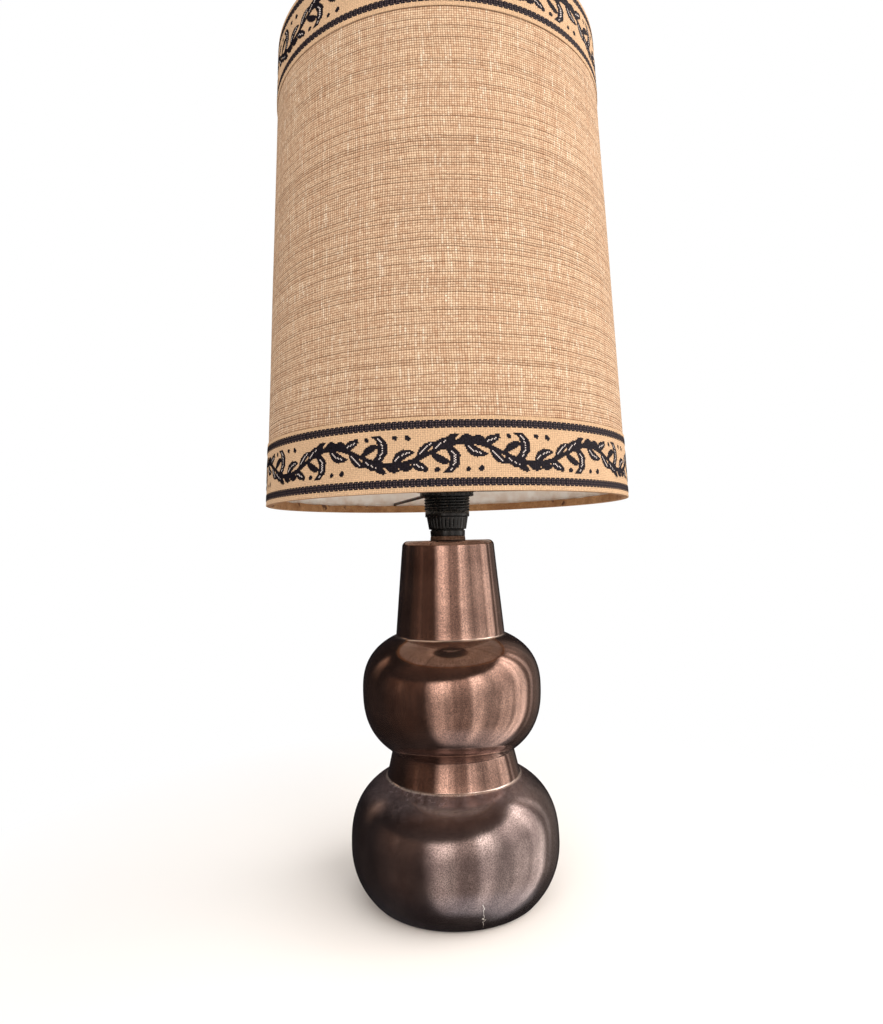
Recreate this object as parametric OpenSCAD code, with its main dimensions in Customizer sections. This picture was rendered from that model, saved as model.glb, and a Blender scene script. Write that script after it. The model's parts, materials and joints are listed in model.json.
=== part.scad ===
// Table lamp: a glazed double-bulb ceramic base, an E27 lampholder on a short threaded
// nipple, and a tapered fabric shade clamped between two screw rings.
// Millimetres, +Z up. The origin is the middle of the foot's resting face, the front is -Y.

/* [Foot] */
// Diameter of the foot of the ceramic body
foot_d = 143.9; // [125:0.1:160]
// Thickness of the felt pad under the foot
felt_t = 1.5; // [1:0.1:3]
// Diameter of the felt pad
felt_d = 136; // [130:1:140]
// Width of the foot's resting land
foot_land = 9; // [7:0.5:12]
// Height of the lip round the bottom opening
foot_lip_h = 8; // [6:0.5:14]
// Thickness of the board that closes the bottom
cover_t = 2.2; // [1.5:0.1:4]
// Width of the ledge that the board seats against
cover_ledge = 3; // [2:0.5:5]

/* [Lower bulb] */
// Diameter of the lower bulb at its widest level
lower_bulb_d = 176.6; // [170:0.2:215]
// Full rise of the lower bulb's curve above its widest level
lower_rise = 63.9; // [54:0.1:80]
// Full drop of the lower bulb's curve below its widest level
lower_drop = 66.3; // [55:0.1:80]
// Squareness of the curve above the widest level, 2 being an ellipse
lower_rise_power = 2.6; // [2:0.05:3]
// Squareness of the curve below the widest level
lower_drop_power = 2.13; // [2:0.01:3]

/* [Waist] */
// Diameter where the waist meets the lower bulb
waist_bottom_d = 113.4; // [95:0.2:130]
// Diameter where the waist meets the upper bulb
waist_top_d = 103.2; // [86:0.2:124]
// Height of the waist between its two creases
waist_h = 22; // [15:0.5:40]

/* [Upper bulb] */
// Diameter of the upper bulb at its widest level
upper_bulb_d = 153; // [130:0.2:185]
// Full rise of the upper bulb's curve above its widest level
upper_rise = 52.6; // [44:0.1:64]
// Full drop of the upper bulb's curve below its widest level
upper_drop = 60.9; // [50:0.1:74]
// Squareness of the curve above the widest level
upper_rise_power = 2.5; // [2:0.05:3]
// Squareness of the curve below the widest level
upper_drop_power = 2.45; // [2:0.05:3]

/* [Neck] */
// Diameter where the neck meets the upper bulb
neck_bottom_d = 94.2; // [78:0.2:114]
// Diameter of the neck at its top
neck_top_d = 80.4; // [66:0.2:98]
// Height of the neck above its crease
neck_h = 81; // [50:0.5:110]
// Radius of the rounded edge at the neck's top
neck_edge_r = 5; // [2:0.5:8]

/* [Ceramic walls] */
// Wall of the slip-cast body
wall = 5; // [4:0.1:7]
// Thickness of the plate that closes the neck
neck_plate_t = 6; // [4:0.5:9]

/* [Cord inlet] */
// Height of the inlet hole's middle on the back of the lower bulb
inlet_z = 26; // [20:0.5:36]
// Diameter of the inlet hole in the wall
inlet_d = 10; // [8:0.1:12]
// Bore of the rubber grommet, for a round mains cord
grommet_bore_d = 7; // [5:0.1:7.5]
// Diameter of the grommet's lips
grommet_lip_d = 15; // [13:0.5:20]
// Height that the outer lip stands from the wall
grommet_lip_t = 2.2; // [1.5:0.1:4]

/* [Nipple and nuts] */
// Outside diameter of the threaded nipple, M10x1
nipple_d = 10; // [9.6:0.1:12]
// Bore of the nipple, for the wires
nipple_bore_d = 7.8; // [6:0.1:8]
// Length of nipple that stands into the lampholder above its floor
nipple_in_holder = 2; // [1:0.5:4]
// Diameter of the large washer under the neck plate
inner_washer_d = 28; // [22:1:34]
// Thickness of the large washer
inner_washer_t = 1.5; // [1:0.1:3]
// Diameter of the lock washer
lock_washer_d = 17; // [15:0.5:20]
// Thickness of the lock washer
lock_washer_t = 1; // [0.8:0.1:2]
// Size of the hexagon nut across its flats
nut_af = 14; // [13:0.5:19]
// Thickness of the hexagon nut
nut_t = 3; // [2:0.5:6]
// Length of nipple that stands out below the nut
nipple_tail = 2; // [1:0.5:10]
// Diameter of the bronze washer on top of the neck
neck_washer_d = 30.7; // [28:0.1:40]
// Thickness of the bronze washer
neck_washer_t = 3.5; // [1.5:0.1:6]

/* [Lampholder] */
// Diameter of the collar at the bottom of the lampholder
collar_d = 30; // [26:0.1:32]
// Height of the collar, which is solid round the nipple
collar_h = 6; // [5:0.1:10]
// Diameter of the groove between the collar and the ribbed cap
cap_groove_d = 28.4; // [25:0.1:30]
// Diameter of the ribbed cap at its bottom
cap_bottom_d = 32.8; // [31:0.1:38]
// Diameter of the ribbed cap at its top
cap_top_d = 36.1; // [35.4:0.1:40]
// Height of the whole cap, collar included
cap_h = 17; // [16:0.1:24]
// Diameter of the shell's spigot that screws into the cap
spigot_d = 30.4; // [28:0.1:31]
// Length of the spigot
spigot_h = 7; // [4:0.1:7.5]
// Wire space inside the cap and the spigot
wire_space_d = 26.6; // [22:0.1:27.5]
// Height of the shell above the cap
shell_h = 40; // [38:0.5:60]
// Diameter of the plain band at the bottom of the shell
band_d = 38.6; // [37.5:0.1:39.6]
// Height of the plain band
band_h = 4.8; // [2:0.1:8]
// Outside diameter of the shell's thread, 40 mm on an E27 holder
thread_d = 40; // [39:0.1:42]
// Pitch of the shell's thread
thread_pitch = 2.5; // [2:0.1:3]
// Depth of the shell's thread
thread_depth = 1.1; // [0.6:0.1:1.2]
// Bore of the shell
shell_bore_d = 34; // [32:0.1:35]
// Height of the ledge that carries the contact insert, above the cap
insert_ledge_h = 2; // [1:0.1:4]
// Thickness of the contact insert
insert_t = 6.5; // [5:0.1:9]

/* [Contacts] */
// Bore of the E27 screw sleeve
sleeve_bore_d = 26.9; // [26.7:0.1:28]
// Thickness of the sleeve's sheet
sleeve_t = 0.5; // [0.3:0.1:1]
// Height of the sleeve above the insert
sleeve_h = 25; // [20:0.5:27]
// Height of the centre contact's tongue above the insert
contact_rise = 2.2; // [1.5:0.1:4]
// Thickness of the contact strips
strip_t = 0.5; // [0.3:0.1:0.8]
// Width of the contact strips
strip_w = 5; // [3:0.5:6]
// Distance of each terminal screw from the axis
terminal_x = 8; // [7:0.1:9]
// Diameter of the small screws
screw_d = 3; // [2.5:0.1:3.5]

/* [Screw rings] */
// Width of each screw ring, from the thread's crest to its outside
ring_w = 3.5; // [3:0.1:7]
// Thickness of each screw ring
ring_t = 4; // [3:0.1:6]
// Height of the lower ring above the bottom of the thread
ring_up = 13.2; // [9:0.1:17]
// Depth of the finger notches in the rings
notch_d = 2.4; // [1.5:0.1:3]
// Number of finger notches in each ring
notch_count = 24; // [12:2:36]

/* [Spider] */
// Thickness of the spider's hub plate
hub_t = 1.5; // [1:0.1:3]
// Width of the hub plate that stands out past the screw rings
hub_margin = 3.5; // [1.5:0.1:11.5]
// Height of the hub's underside above the shade's bottom edge
hub_above_rim = 10.9; // [10:0.1:60]
// Diameter of the frame's wire
wire_d = 3; // [2:0.1:4]
// Number of spider arms
arm_count = 3; // [3:1:4]
// Direction of the first arm, anticlockwise from +X
arm_angle = 112; // [0:1:119]

/* [Shade] */
// Diameter of the shade's bottom, over the trim
shade_bottom_d = 308.4; // [250:0.2:380]
// Diameter of the shade's top, over the trim
shade_top_d = 277.2; // [220:0.2:350]
// Height of the shade
shade_h = 389.2; // [300:0.2:480]
// Thickness of the linen cover
fabric_t = 0.8; // [0.5:0.1:1.5]
// Thickness of the white liner
liner_t = 0.6; // [0.3:0.1:1.2]
// Thickness of the woven trims
trim_t = 0.8; // [0.5:0.1:1.5]
// Width of the trims
trim_w = 50; // [30:0.5:70]
// Thickness of the turned-in hem tape
hem_t = 0.5; // [0.3:0.1:1]
// Height of the hem tape inside the shade
hem_h = 7; // [6:0.1:8]

/* [Bulb] */
// Diameter of the bulb's glass
glass_d = 60; // [50:0.5:80]
// Height of the bulb from its contact to its top
bulb_h = 105; // [95:0.5:130]
// Wall of the bulb's glass
glass_t = 0.8; // [0.6:0.1:1.2]
// Diameter over the E27 cap's thread
bulb_thread_d = 26.4; // [26:0.1:26.5]
// Pitch of the E27 thread
bulb_pitch = 3.63; // [3.5:0.01:3.8]
// Height of the contact and insulator below the cap
bulb_tip_h = 5.6; // [5:0.1:6]
// Height of the cap's metal sleeve
bulb_cap_h = 21.4; // [20:0.1:22]

/* [Fits] */
// Radial gap of a screw thread that is modelled plain
thread_gap = 0.05; // [0.02:0.01:0.1]
// Radial gap of a part that drops into its seat
seat_gap = 0.15; // [0.05:0.05:0.3]
// Radial gap between the shell's thread and what slides along it
slide_gap = 0.25; // [0.1:0.05:0.4]
// Gap between the bulb's contact and the tongue
contact_gap = 0.1; // [0.05:0.05:0.3]
// Gap round the frame wire inside the hem
wire_gap = 0.05; // [0.02:0.01:0.1]

/* [Hidden] */

$fn = 96;
far = 400;       // longer than any cut needs
curve_steps = 11; // straight steps in one bulb curve

// Each bulb half is a superellipse: (r/R)^p + (h/H)^p = 1, h counted from the widest level.
function half_h(r_max, h_max, p, r) = h_max * pow(1 - pow(r / r_max, p), 1 / p);
function half_r(r_max, h_max, p, h) = r_max * pow(1 - pow(h / h_max, p), 1 / p);
function angle_at_r(r_max, p, r) = acos(pow(r / r_max, p / 2));
function angle_at_h(h_max, p, h) = asin(pow(h / h_max, p / 2));
// Points [r, h] from the widest level to the angle t_end
function half_curve(r_max, h_max, p, t_end) =
    [for (i = [0 : curve_steps]) let (t = t_end * i / curve_steps)
        [r_max * pow(cos(t), 2 / p), h_max * pow(sin(t), 2 / p)]];
function up_from(z, pts) = [for (q = pts) [q[0], z + q[1]]];
function down_from(z, pts) = [for (i = [len(pts) - 1 : -1 : 0]) [pts[i][0], z - pts[i][1]]];
function reversed(pts) = [for (i = [len(pts) - 1 : -1 : 0]) pts[i]];

// Levels of the ceramic body, stacked from the foot up
foot_z = felt_t;
lower_z = foot_z + half_h(lower_bulb_d / 2, lower_drop, lower_drop_power, foot_d / 2);
waist_z0 = lower_z + half_h(lower_bulb_d / 2, lower_rise, lower_rise_power, waist_bottom_d / 2);
waist_z1 = waist_z0 + waist_h;
upper_z = waist_z1 + half_h(upper_bulb_d / 2, upper_drop, upper_drop_power, waist_top_d / 2);
neck_z0 = upper_z + half_h(upper_bulb_d / 2, upper_rise, upper_rise_power, neck_bottom_d / 2);
neck_z1 = neck_z0 + neck_h;

// Profile of the body from a start level up to the neck's crease, set in by w from the surface
function body_side(w, z_start) =
    let (lr = lower_bulb_d / 2 - w, ur = upper_bulb_d / 2 - w)
    concat(
        down_from(lower_z, half_curve(lr, lower_drop - w, lower_drop_power,
            angle_at_h(lower_drop - w, lower_drop_power, lower_z - z_start))),
        up_from(lower_z, [for (q = half_curve(lr, lower_rise - w, lower_rise_power,
            angle_at_r(lr, lower_rise_power, waist_bottom_d / 2 - w))) if (q[1] > 0) q]),
        down_from(upper_z, half_curve(ur, upper_drop - w, upper_drop_power,
            angle_at_r(ur, upper_drop_power, waist_top_d / 2 - w))),
        up_from(upper_z, [for (q = half_curve(ur, upper_rise - w, upper_rise_power,
            angle_at_r(ur, upper_rise_power, neck_bottom_d / 2 - w))) if (q[1] > 0) q]));
function neck_edge() = [for (a = [0 : 15 : 90])
    [neck_top_d / 2 - neck_edge_r * (1 - cos(a)), neck_z1 - neck_edge_r * (1 - sin(a))]];

lip_z = foot_z + foot_lip_h;
opening_r = foot_d / 2 - foot_land - cover_ledge;
cover_seat_r = foot_d / 2 - foot_land;
nipple_hole_r = nipple_d / 2 + slide_gap;

// Cord inlet: square to the wall of the lower bulb at inlet_z
inlet_h = lower_z - inlet_z;
inlet_y = half_r(lower_bulb_d / 2, lower_drop, lower_drop_power, inlet_h);
inlet_tilt = atan(pow(inlet_h / lower_drop, lower_drop_power - 1)
    / pow(2 * inlet_y / lower_bulb_d, lower_drop_power - 1) * lower_bulb_d / 2 / lower_drop);

// Levels of the lampholder
holder_z = neck_z1 + neck_washer_t;
collar_top = holder_z + collar_h;
cap_z1 = holder_z + cap_h;
thread_z0 = cap_z1 + band_h;
shell_z1 = cap_z1 + shell_h;
shell_lip_h = 2.2;
ridge_count = floor((shell_h - band_h - shell_lip_h) / thread_pitch);
ledge_z = cap_z1 + insert_ledge_h;
insert_z1 = ledge_z + insert_t;
plate_z0 = neck_z1 - neck_plate_t;
washer_z0 = plate_z0 - inner_washer_t;
lock_z0 = washer_z0 - lock_washer_t;
nut_z0 = lock_z0 - nut_t;
nipple_z0 = nut_z0 - nipple_tail;
nipple_z1 = collar_top + nipple_in_holder;

// Levels of the shade
ring_z0 = thread_z0 + ring_up;
hub_z0 = ring_z0 + ring_t;
upper_ring_z0 = hub_z0 + hub_t;
sliding_bore_r = thread_d / 2 + slide_gap;
ring_d = thread_d + 2 * ring_w;
hub_d = ring_d + 2 * hub_margin;
shade_z0 = hub_z0 - hub_above_rim;
shade_z1 = shade_z0 + shade_h;
function fabric_r(z) = (shade_bottom_d / 2
    + (shade_top_d - shade_bottom_d) / 2 * (z - shade_z0) / shade_h) - trim_t;
liner_in = fabric_t + liner_t;
wire_in = liner_in + wire_gap + wire_d / 2;
hem_in = wire_in + wire_d / 2 + wire_gap;
function wire_r(z) = fabric_r(z) - wire_in;
bottom_wire_z = shade_z0 + hem_t + wire_gap + wire_d / 2;
top_wire_z = shade_z1 - hem_t - wire_gap - wire_d / 2;
arm_end_z = shade_z0 + hem_h + wire_d / 2 + 0.5;
braze = 0.06;

// Levels of the bulb
tip_z = insert_z1 + contact_rise + contact_gap;
tip_contact_h = 1.6;
bulb_cap_z0 = tip_z + bulb_tip_h;
bulb_cap_z1 = bulb_cap_z0 + bulb_cap_h;
bulb_ridge_depth = 1.1;
bulb_cap_t = 0.4;
bulb_root_r = bulb_thread_d / 2 - bulb_ridge_depth;
seal_r = bulb_root_r - bulb_cap_t - seat_gap;
throat_r = bulb_thread_d / 2 + 0.6;
glass_z = tip_z + bulb_h - glass_d / 2;
throat_z = bulb_cap_z1 + 2;
seal_z = bulb_cap_z0 + 3;

module revolve(pts) { rotate_extrude() polygon(pts); }
module tube(r_in, r_out, z0, z1) {
    revolve([[r_in, z0], [r_out, z0], [r_out, z1], [r_in, z1]]);
}
// A wall of the shade between two levels, set in from the fabric's outer face
module shade_wall(z0, z1, inset, t) {
    revolve([[fabric_r(z0) - inset - t, z0], [fabric_r(z0) - inset, z0],
             [fabric_r(z1) - inset, z1], [fabric_r(z1) - inset - t, z1]]);
}
module rod(p, q, r) {
    d = q - p;
    translate(p) rotate([0, acos(d[2] / norm(d)), atan2(d[1], d[0])])
        cylinder(h = norm(d), r = r, $fn = 24);
}
// Places its children on the inlet's axis, +Z pointing out of the wall
module at_inlet() {
    translate([0, inlet_y, inlet_z]) rotate([-90 - inlet_tilt, 0, 0]) children();
}

module ceramic_outside() {
    revolve(concat([[0, foot_z]], body_side(0, foot_z), neck_edge(), [[0, neck_z1]]));
}
module ceramic_inside() {
    revolve(concat([[0, lip_z]], body_side(wall, lip_z),
        [[neck_top_d / 2 - wall, plate_z0], [0, plate_z0]]));
}

// The three castings meet at the waist's lower crease and at the neck's crease. Each takes its
// stretch of the outer and inner profiles between two levels.
function radius_at(pts, z) = lookup(z, [for (q = pts) [q[1], q[0]]]);
function stretch_of(pts, z0, z1) = concat(
    [[radius_at(pts, z0), z0]],
    [for (q = pts) if (q[1] > z0 + 0.01 && q[1] < z1 - 0.01) q],
    [[radius_at(pts, z1), z1]]);
function inside_line() = concat(body_side(wall, lip_z), [[neck_top_d / 2 - wall, plate_z0]]);

module ceramic_lower_bulb() {
    color("#5f4a44") difference() {
        revolve(concat(
            stretch_of(body_side(0, foot_z), foot_z, waist_z0),
            reversed(stretch_of(inside_line(), lip_z, waist_z0)),
            [[opening_r, lip_z], [opening_r, foot_z + cover_t],
             [cover_seat_r, foot_z + cover_t], [cover_seat_r, foot_z]]));
        at_inlet() translate([0, 0, -2 * wall]) cylinder(h = 3 * wall, d = inlet_d);
    }
}
module ceramic_upper_bulb() {
    color("#6b4a38") revolve(concat(
        stretch_of(body_side(0, foot_z), waist_z0, neck_z0),
        reversed(stretch_of(inside_line(), waist_z0, neck_z0))));
}
module ceramic_neck() {
    color("#74503c") revolve(concat(
        [[neck_bottom_d / 2, neck_z0]], neck_edge(),
        [[nipple_hole_r, neck_z1], [nipple_hole_r, plate_z0],
         [neck_top_d / 2 - wall, plate_z0], [radius_at(inside_line(), neck_z0), neck_z0]]));
}

module foot_felt() { color("#2f4a3a") cylinder(h = felt_t, d = felt_d); }

module base_cover() {
    color("#8a6a48") translate([0, 0, foot_z])
        cylinder(h = cover_t, r = cover_seat_r - seat_gap);
}

// The lips follow the wall's inside and outside, the sleeve fills the hole
module cord_grommet() {
    color("#1c1c1c") difference() {
        union() {
            difference() {
                at_inlet() translate([0, 0, -wall]) cylinder(h = wall + grommet_lip_t, d = grommet_lip_d);
                ceramic_outside();
            }
            intersection() {
                at_inlet() translate([0, 0, -wall - grommet_lip_t])
                    cylinder(h = wall + grommet_lip_t, d = grommet_lip_d);
                ceramic_inside();
            }
            at_inlet() translate([0, 0, -wall - grommet_lip_t])
                cylinder(h = wall + 2 * grommet_lip_t, d = inlet_d);
        }
        at_inlet() translate([0, 0, -far / 2]) cylinder(h = far, d = grommet_bore_d);
    }
}

module neck_nipple() {
    color("#b08d57") tube(nipple_bore_d / 2, nipple_d / 2, nipple_z0, nipple_z1);
}
module inner_washer() {
    color("#9a9a9a") tube(nipple_hole_r, inner_washer_d / 2, washer_z0, plate_z0);
}
module lock_washer() {
    color("#8c8c8c") tube(nipple_hole_r, lock_washer_d / 2, lock_z0, washer_z0);
}
module inner_nut() {
    color("#b08d57") difference() {
        translate([0, 0, nut_z0]) cylinder(h = nut_t, d = nut_af / cos(30), $fn = 6);
        translate([0, 0, nut_z0 - 1]) cylinder(h = nut_t + 2, r = nipple_d / 2 + thread_gap);
    }
}
module neck_washer() {
    color("#6a5238") tube(nipple_hole_r, neck_washer_d / 2, neck_z1, holder_z);
}

groove_h = 0.9;
module holder_cap() {
    color("#161514") difference() {
        revolve([[nipple_d / 2 + thread_gap, holder_z], [collar_d / 2, holder_z],
                 [collar_d / 2, collar_top - groove_h], [cap_groove_d / 2, collar_top - groove_h],
                 [cap_groove_d / 2, collar_top], [cap_bottom_d / 2, collar_top],
                 [cap_top_d / 2, cap_z1], [spigot_d / 2 + thread_gap, cap_z1],
                 [spigot_d / 2 + thread_gap, cap_z1 - spigot_h],
                 [wire_space_d / 2, cap_z1 - spigot_h], [wire_space_d / 2, collar_top],
                 [nipple_d / 2 + thread_gap, collar_top]]);
        lock_screw_axis() cylinder(h = collar_d, r = screw_d / 2 + thread_gap);
    }
}
// The lock screw lies across the collar, pointing at the nipple from the back
module lock_screw_axis() {
    translate([0, 0, holder_z + (collar_h - groove_h) / 2]) rotate([-90, 0, 0]) children();
}
lock_screw_recess = 1;
module cap_lock_screw() {
    color("#b9b9b4") lock_screw_axis() difference() {
        translate([0, 0, nipple_d / 2])
            cylinder(h = (collar_d - nipple_d) / 2 - lock_screw_recess, d = screw_d);
        translate([0, 0, collar_d / 2 - lock_screw_recess - screw_d / 2])
            cylinder(h = screw_d, d = screw_d / 2, $fn = 6);
    }
}

// The thread is modelled as rings at the thread's pitch
function ridge(z, root, crest, pitch) =
    [[root, z], [crest, z + pitch * 0.3], [crest, z + pitch * 0.5], [root, z + pitch * 0.8]];
module holder_shell() {
    root = thread_d / 2 - thread_depth;
    color("#161514") revolve(concat(
        [[wire_space_d / 2, cap_z1 - spigot_h], [spigot_d / 2, cap_z1 - spigot_h],
         [spigot_d / 2, cap_z1], [band_d / 2, cap_z1], [band_d / 2, thread_z0]],
        [for (i = [0 : ridge_count - 1])
            each ridge(thread_z0 + i * thread_pitch, root, thread_d / 2, thread_pitch)],
        [[root, shell_z1], [shell_bore_d / 2, shell_z1], [shell_bore_d / 2, ledge_z],
         [wire_space_d / 2, ledge_z]]));
}
module contact_insert() {
    color("#e8e2d4") difference() {
        translate([0, 0, ledge_z]) cylinder(h = insert_t, r = shell_bore_d / 2 - seat_gap);
        for (x = [-terminal_x, terminal_x]) translate([x, 0, ledge_z - 1])
            cylinder(h = insert_t + 2, r = screw_d / 2 + thread_gap);
    }
}
module screw_socket() {
    r = sleeve_bore_d / 2;
    color("#c9a24b") revolve([[r, insert_z1], [r + sleeve_t, insert_z1],
        [r + sleeve_t, insert_z1 + sleeve_h - sleeve_t],
        [shell_bore_d / 2 - seat_gap, insert_z1 + sleeve_h - sleeve_t],
        [shell_bore_d / 2 - seat_gap, insert_z1 + sleeve_h], [r, insert_z1 + sleeve_h]]);
}
// A strip bent in the XZ plane, extruded across
module strip(pts) {
    translate([0, strip_w / 2, insert_z1]) rotate([90, 0, 0]) linear_extrude(strip_w) polygon(pts);
}
module centre_contact() {
    end_x = terminal_x + screw_d / 2;
    color("#c9a24b") strip([[end_x, 0], [end_x, strip_t], [strip_w - strip_t, strip_t],
        [strip_w / 2, contact_rise], [-strip_w / 2, contact_rise],
        [-strip_w / 2, contact_rise - strip_t], [strip_w / 2 - strip_t, contact_rise - strip_t],
        [strip_w - 2 * strip_t, 0]]);
}
module side_contact() {
    end_x = terminal_x - screw_d / 2;
    lip_x = sleeve_bore_d / 2 - 2 * seat_gap;
    color("#c9a24b") strip([[-end_x, 0], [-end_x, strip_t], [strip_t - lip_x, strip_t],
        [strip_t - lip_x, 3], [-lip_x, 3], [-lip_x, 0]]);
}
module terminal_screws() {
    color("#c9a24b") for (x = [-terminal_x, terminal_x]) translate([x, 0, 0]) {
        translate([0, 0, ledge_z]) cylinder(h = insert_t, d = screw_d);
        difference() {
            translate([0, 0, ledge_z - 2.5]) cylinder(h = 2.5, d = 2 * screw_d - 0.4);
            translate([-0.4, -screw_d, ledge_z - 3]) cube([0.8, 2 * screw_d, 1.3]);
        }
    }
}

module shade_ring(z0) {
    color("#161514") difference() {
        tube(sliding_bore_r, ring_d / 2, z0, z0 + ring_t);
        for (i = [0 : notch_count - 1]) rotate([0, 0, i * 360 / notch_count])
            translate([ring_d / 2 + notch_d * 0.25, 0, z0 - 1]) cylinder(h = ring_t + 2, d = notch_d, $fn = 24);
    }
}
module lower_shade_ring() { shade_ring(ring_z0); }
module upper_shade_ring() { shade_ring(upper_ring_z0); }

module spider_hub() {
    color("#3a3836") tube(sliding_bore_r, hub_d / 2, hub_z0, hub_z0 + hub_t);
}
// Each arm runs from the hub over the hem's edge and bends down to stand on the frame ring,
// with a blob of braze at the bend
module spider_arms() {
    hub_mid = hub_z0 + hub_t / 2;
    foot_level = bottom_wire_z + wire_d / 2;
    color("#2c2a28") difference() {
        for (i = [0 : arm_count - 1]) rotate([0, 0, arm_angle + i * 360 / arm_count]) {
            knee = [wire_r(arm_end_z), 0, arm_end_z];
            rod([hub_d / 2 - wire_d, 0, hub_mid], knee, wire_d / 2);
            translate(knee) sphere(d = wire_d + braze, $fn = 24);
            rod(knee, [wire_r(foot_level), 0, foot_level], wire_d / 2);
        }
        translate([0, 0, hub_z0 - wire_d]) cylinder(h = hub_t + 2 * wire_d, d = hub_d);
    }
}
module frame_wire(z) {
    rotate_extrude() translate([wire_r(z), z]) circle(d = wire_d, $fn = 32);
}
module bottom_frame_ring() { color("#4a4038") frame_wire(bottom_wire_z); }
module top_frame_ring() { color("#4a4038") frame_wire(top_wire_z); }

module shade_liner() { color("#efebe2") shade_wall(shade_z0 + hem_t, shade_z1 - hem_t, fabric_t, liner_t); }
module shade_fabric() { color("#b89b74") shade_wall(shade_z0 + hem_t, shade_z1 - hem_t, 0, fabric_t); }
module bottom_trim() { color("#c8a878") shade_wall(shade_z0, shade_z0 + trim_w, -trim_t, trim_t); }
module top_trim() { color("#c8a878") shade_wall(shade_z1 - trim_w, shade_z1, -trim_t, trim_t); }

// The tape folds under the edge and up over the frame wire; up is +1 at the bottom, -1 at the top
module hem(z_edge, up) {
    z_fold = z_edge + up * hem_t;
    z_end = z_edge + up * hem_h;
    r_edge = function(z) fabric_r(z) - hem_in;
    color("#a5794c") revolve([[r_edge(z_edge) - hem_t, z_edge], [fabric_r(z_edge), z_edge],
        [fabric_r(z_fold), z_fold], [r_edge(z_fold), z_fold],
        [r_edge(z_end), z_end], [r_edge(z_end) - hem_t, z_end]]);
}
module bottom_hem() { hem(shade_z0, 1); }
module top_hem() { hem(shade_z1, -1); }

// Pear-shaped glass: a smooth swell from the throat, then the crown
function glass_side(w) = [for (i = [0 : 12]) let (u = i / 12)
    [throat_r - w + (glass_d / 2 - throat_r) * pow(sin(90 * u), 2),
     throat_z + (glass_z - throat_z) * u]];
function glass_crown(w) = [for (a = [8 : 8 : 80])
    [(glass_d / 2 - w) * cos(a), glass_z + (glass_d / 2 - w) * sin(a)]];
module bulb_glass() {
    color("#f4f2ea") revolve(concat(
        [[seal_r, seal_z], [seal_r, bulb_cap_z1]], glass_side(0), glass_crown(0),
        [[0, glass_z + glass_d / 2], [0, glass_z + glass_d / 2 - glass_t]],
        reversed(glass_crown(glass_t)), reversed(glass_side(glass_t)),
        [[seal_r - glass_t, bulb_cap_z1], [seal_r - glass_t, seal_z]]));
}
// The glass stem with its two leads and the filament between them
stem_r = 3.5;
stem_top = 46;
lead_r = 0.4;
filament_x = 12;
filament_top = 70;
module bulb_stem() {
    top = tip_z + stem_top;
    color("#e9e6dc") {
        translate([0, 0, seal_z]) cylinder(h = 1.2, r = seal_r - glass_t - thread_gap);
        translate([0, 0, seal_z + 1]) cylinder(h = top - seal_z - 1, r = stem_r);
        for (s = [-1, 1])
            rod([s * stem_r / 2, 0, top - 1], [s * filament_x, 0, tip_z + filament_top], lead_r);
        rod([-filament_x, 0, tip_z + filament_top], [filament_x, 0, tip_z + filament_top], 1.2 * lead_r);
    }
}
module bulb_cap() {
    ridges = floor((bulb_cap_h - 2) / bulb_pitch);
    color("#c8c4b8") revolve(concat(
        [[bulb_root_r - bulb_cap_t, bulb_cap_z0], [bulb_root_r, bulb_cap_z0]],
        [for (i = [0 : ridges - 1])
            each ridge(bulb_cap_z0 + 0.5 + i * bulb_pitch, bulb_root_r, bulb_thread_d / 2, bulb_pitch)],
        [[bulb_root_r, bulb_cap_z1], [bulb_root_r - bulb_cap_t, bulb_cap_z1]]));
}
module bulb_insulator() {
    color("#20201f") revolve([[0, tip_z + tip_contact_h], [5.2, tip_z + tip_contact_h],
        [bulb_root_r - bulb_cap_t, bulb_cap_z0], [0, bulb_cap_z0]]);
}
module bulb_contact() {
    color("#b9b6ac") translate([0, 0, tip_z]) cylinder(h = tip_contact_h, r = 4.75);
}

ceramic_lower_bulb();
ceramic_upper_bulb();
ceramic_neck();
foot_felt();
base_cover();
cord_grommet();
neck_nipple();
inner_washer();
lock_washer();
inner_nut();
neck_washer();
holder_cap();
cap_lock_screw();
holder_shell();
contact_insert();
screw_socket();
centre_contact();
side_contact();
terminal_screws();
lower_shade_ring();
upper_shade_ring();
spider_hub();
spider_arms();
bottom_frame_ring();
top_frame_ring();
shade_liner();
shade_fabric();
bottom_trim();
top_trim();
bottom_hem();
top_hem();
bulb_glass();
bulb_stem();
bulb_cap();
bulb_insulator();
bulb_contact();
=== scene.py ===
import json
import math

import bmesh
import bpy
import numpy as np
from bpy.props import FloatProperty, FloatVectorProperty, IntProperty, PointerProperty
from mathutils import Matrix, Vector, noise


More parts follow.
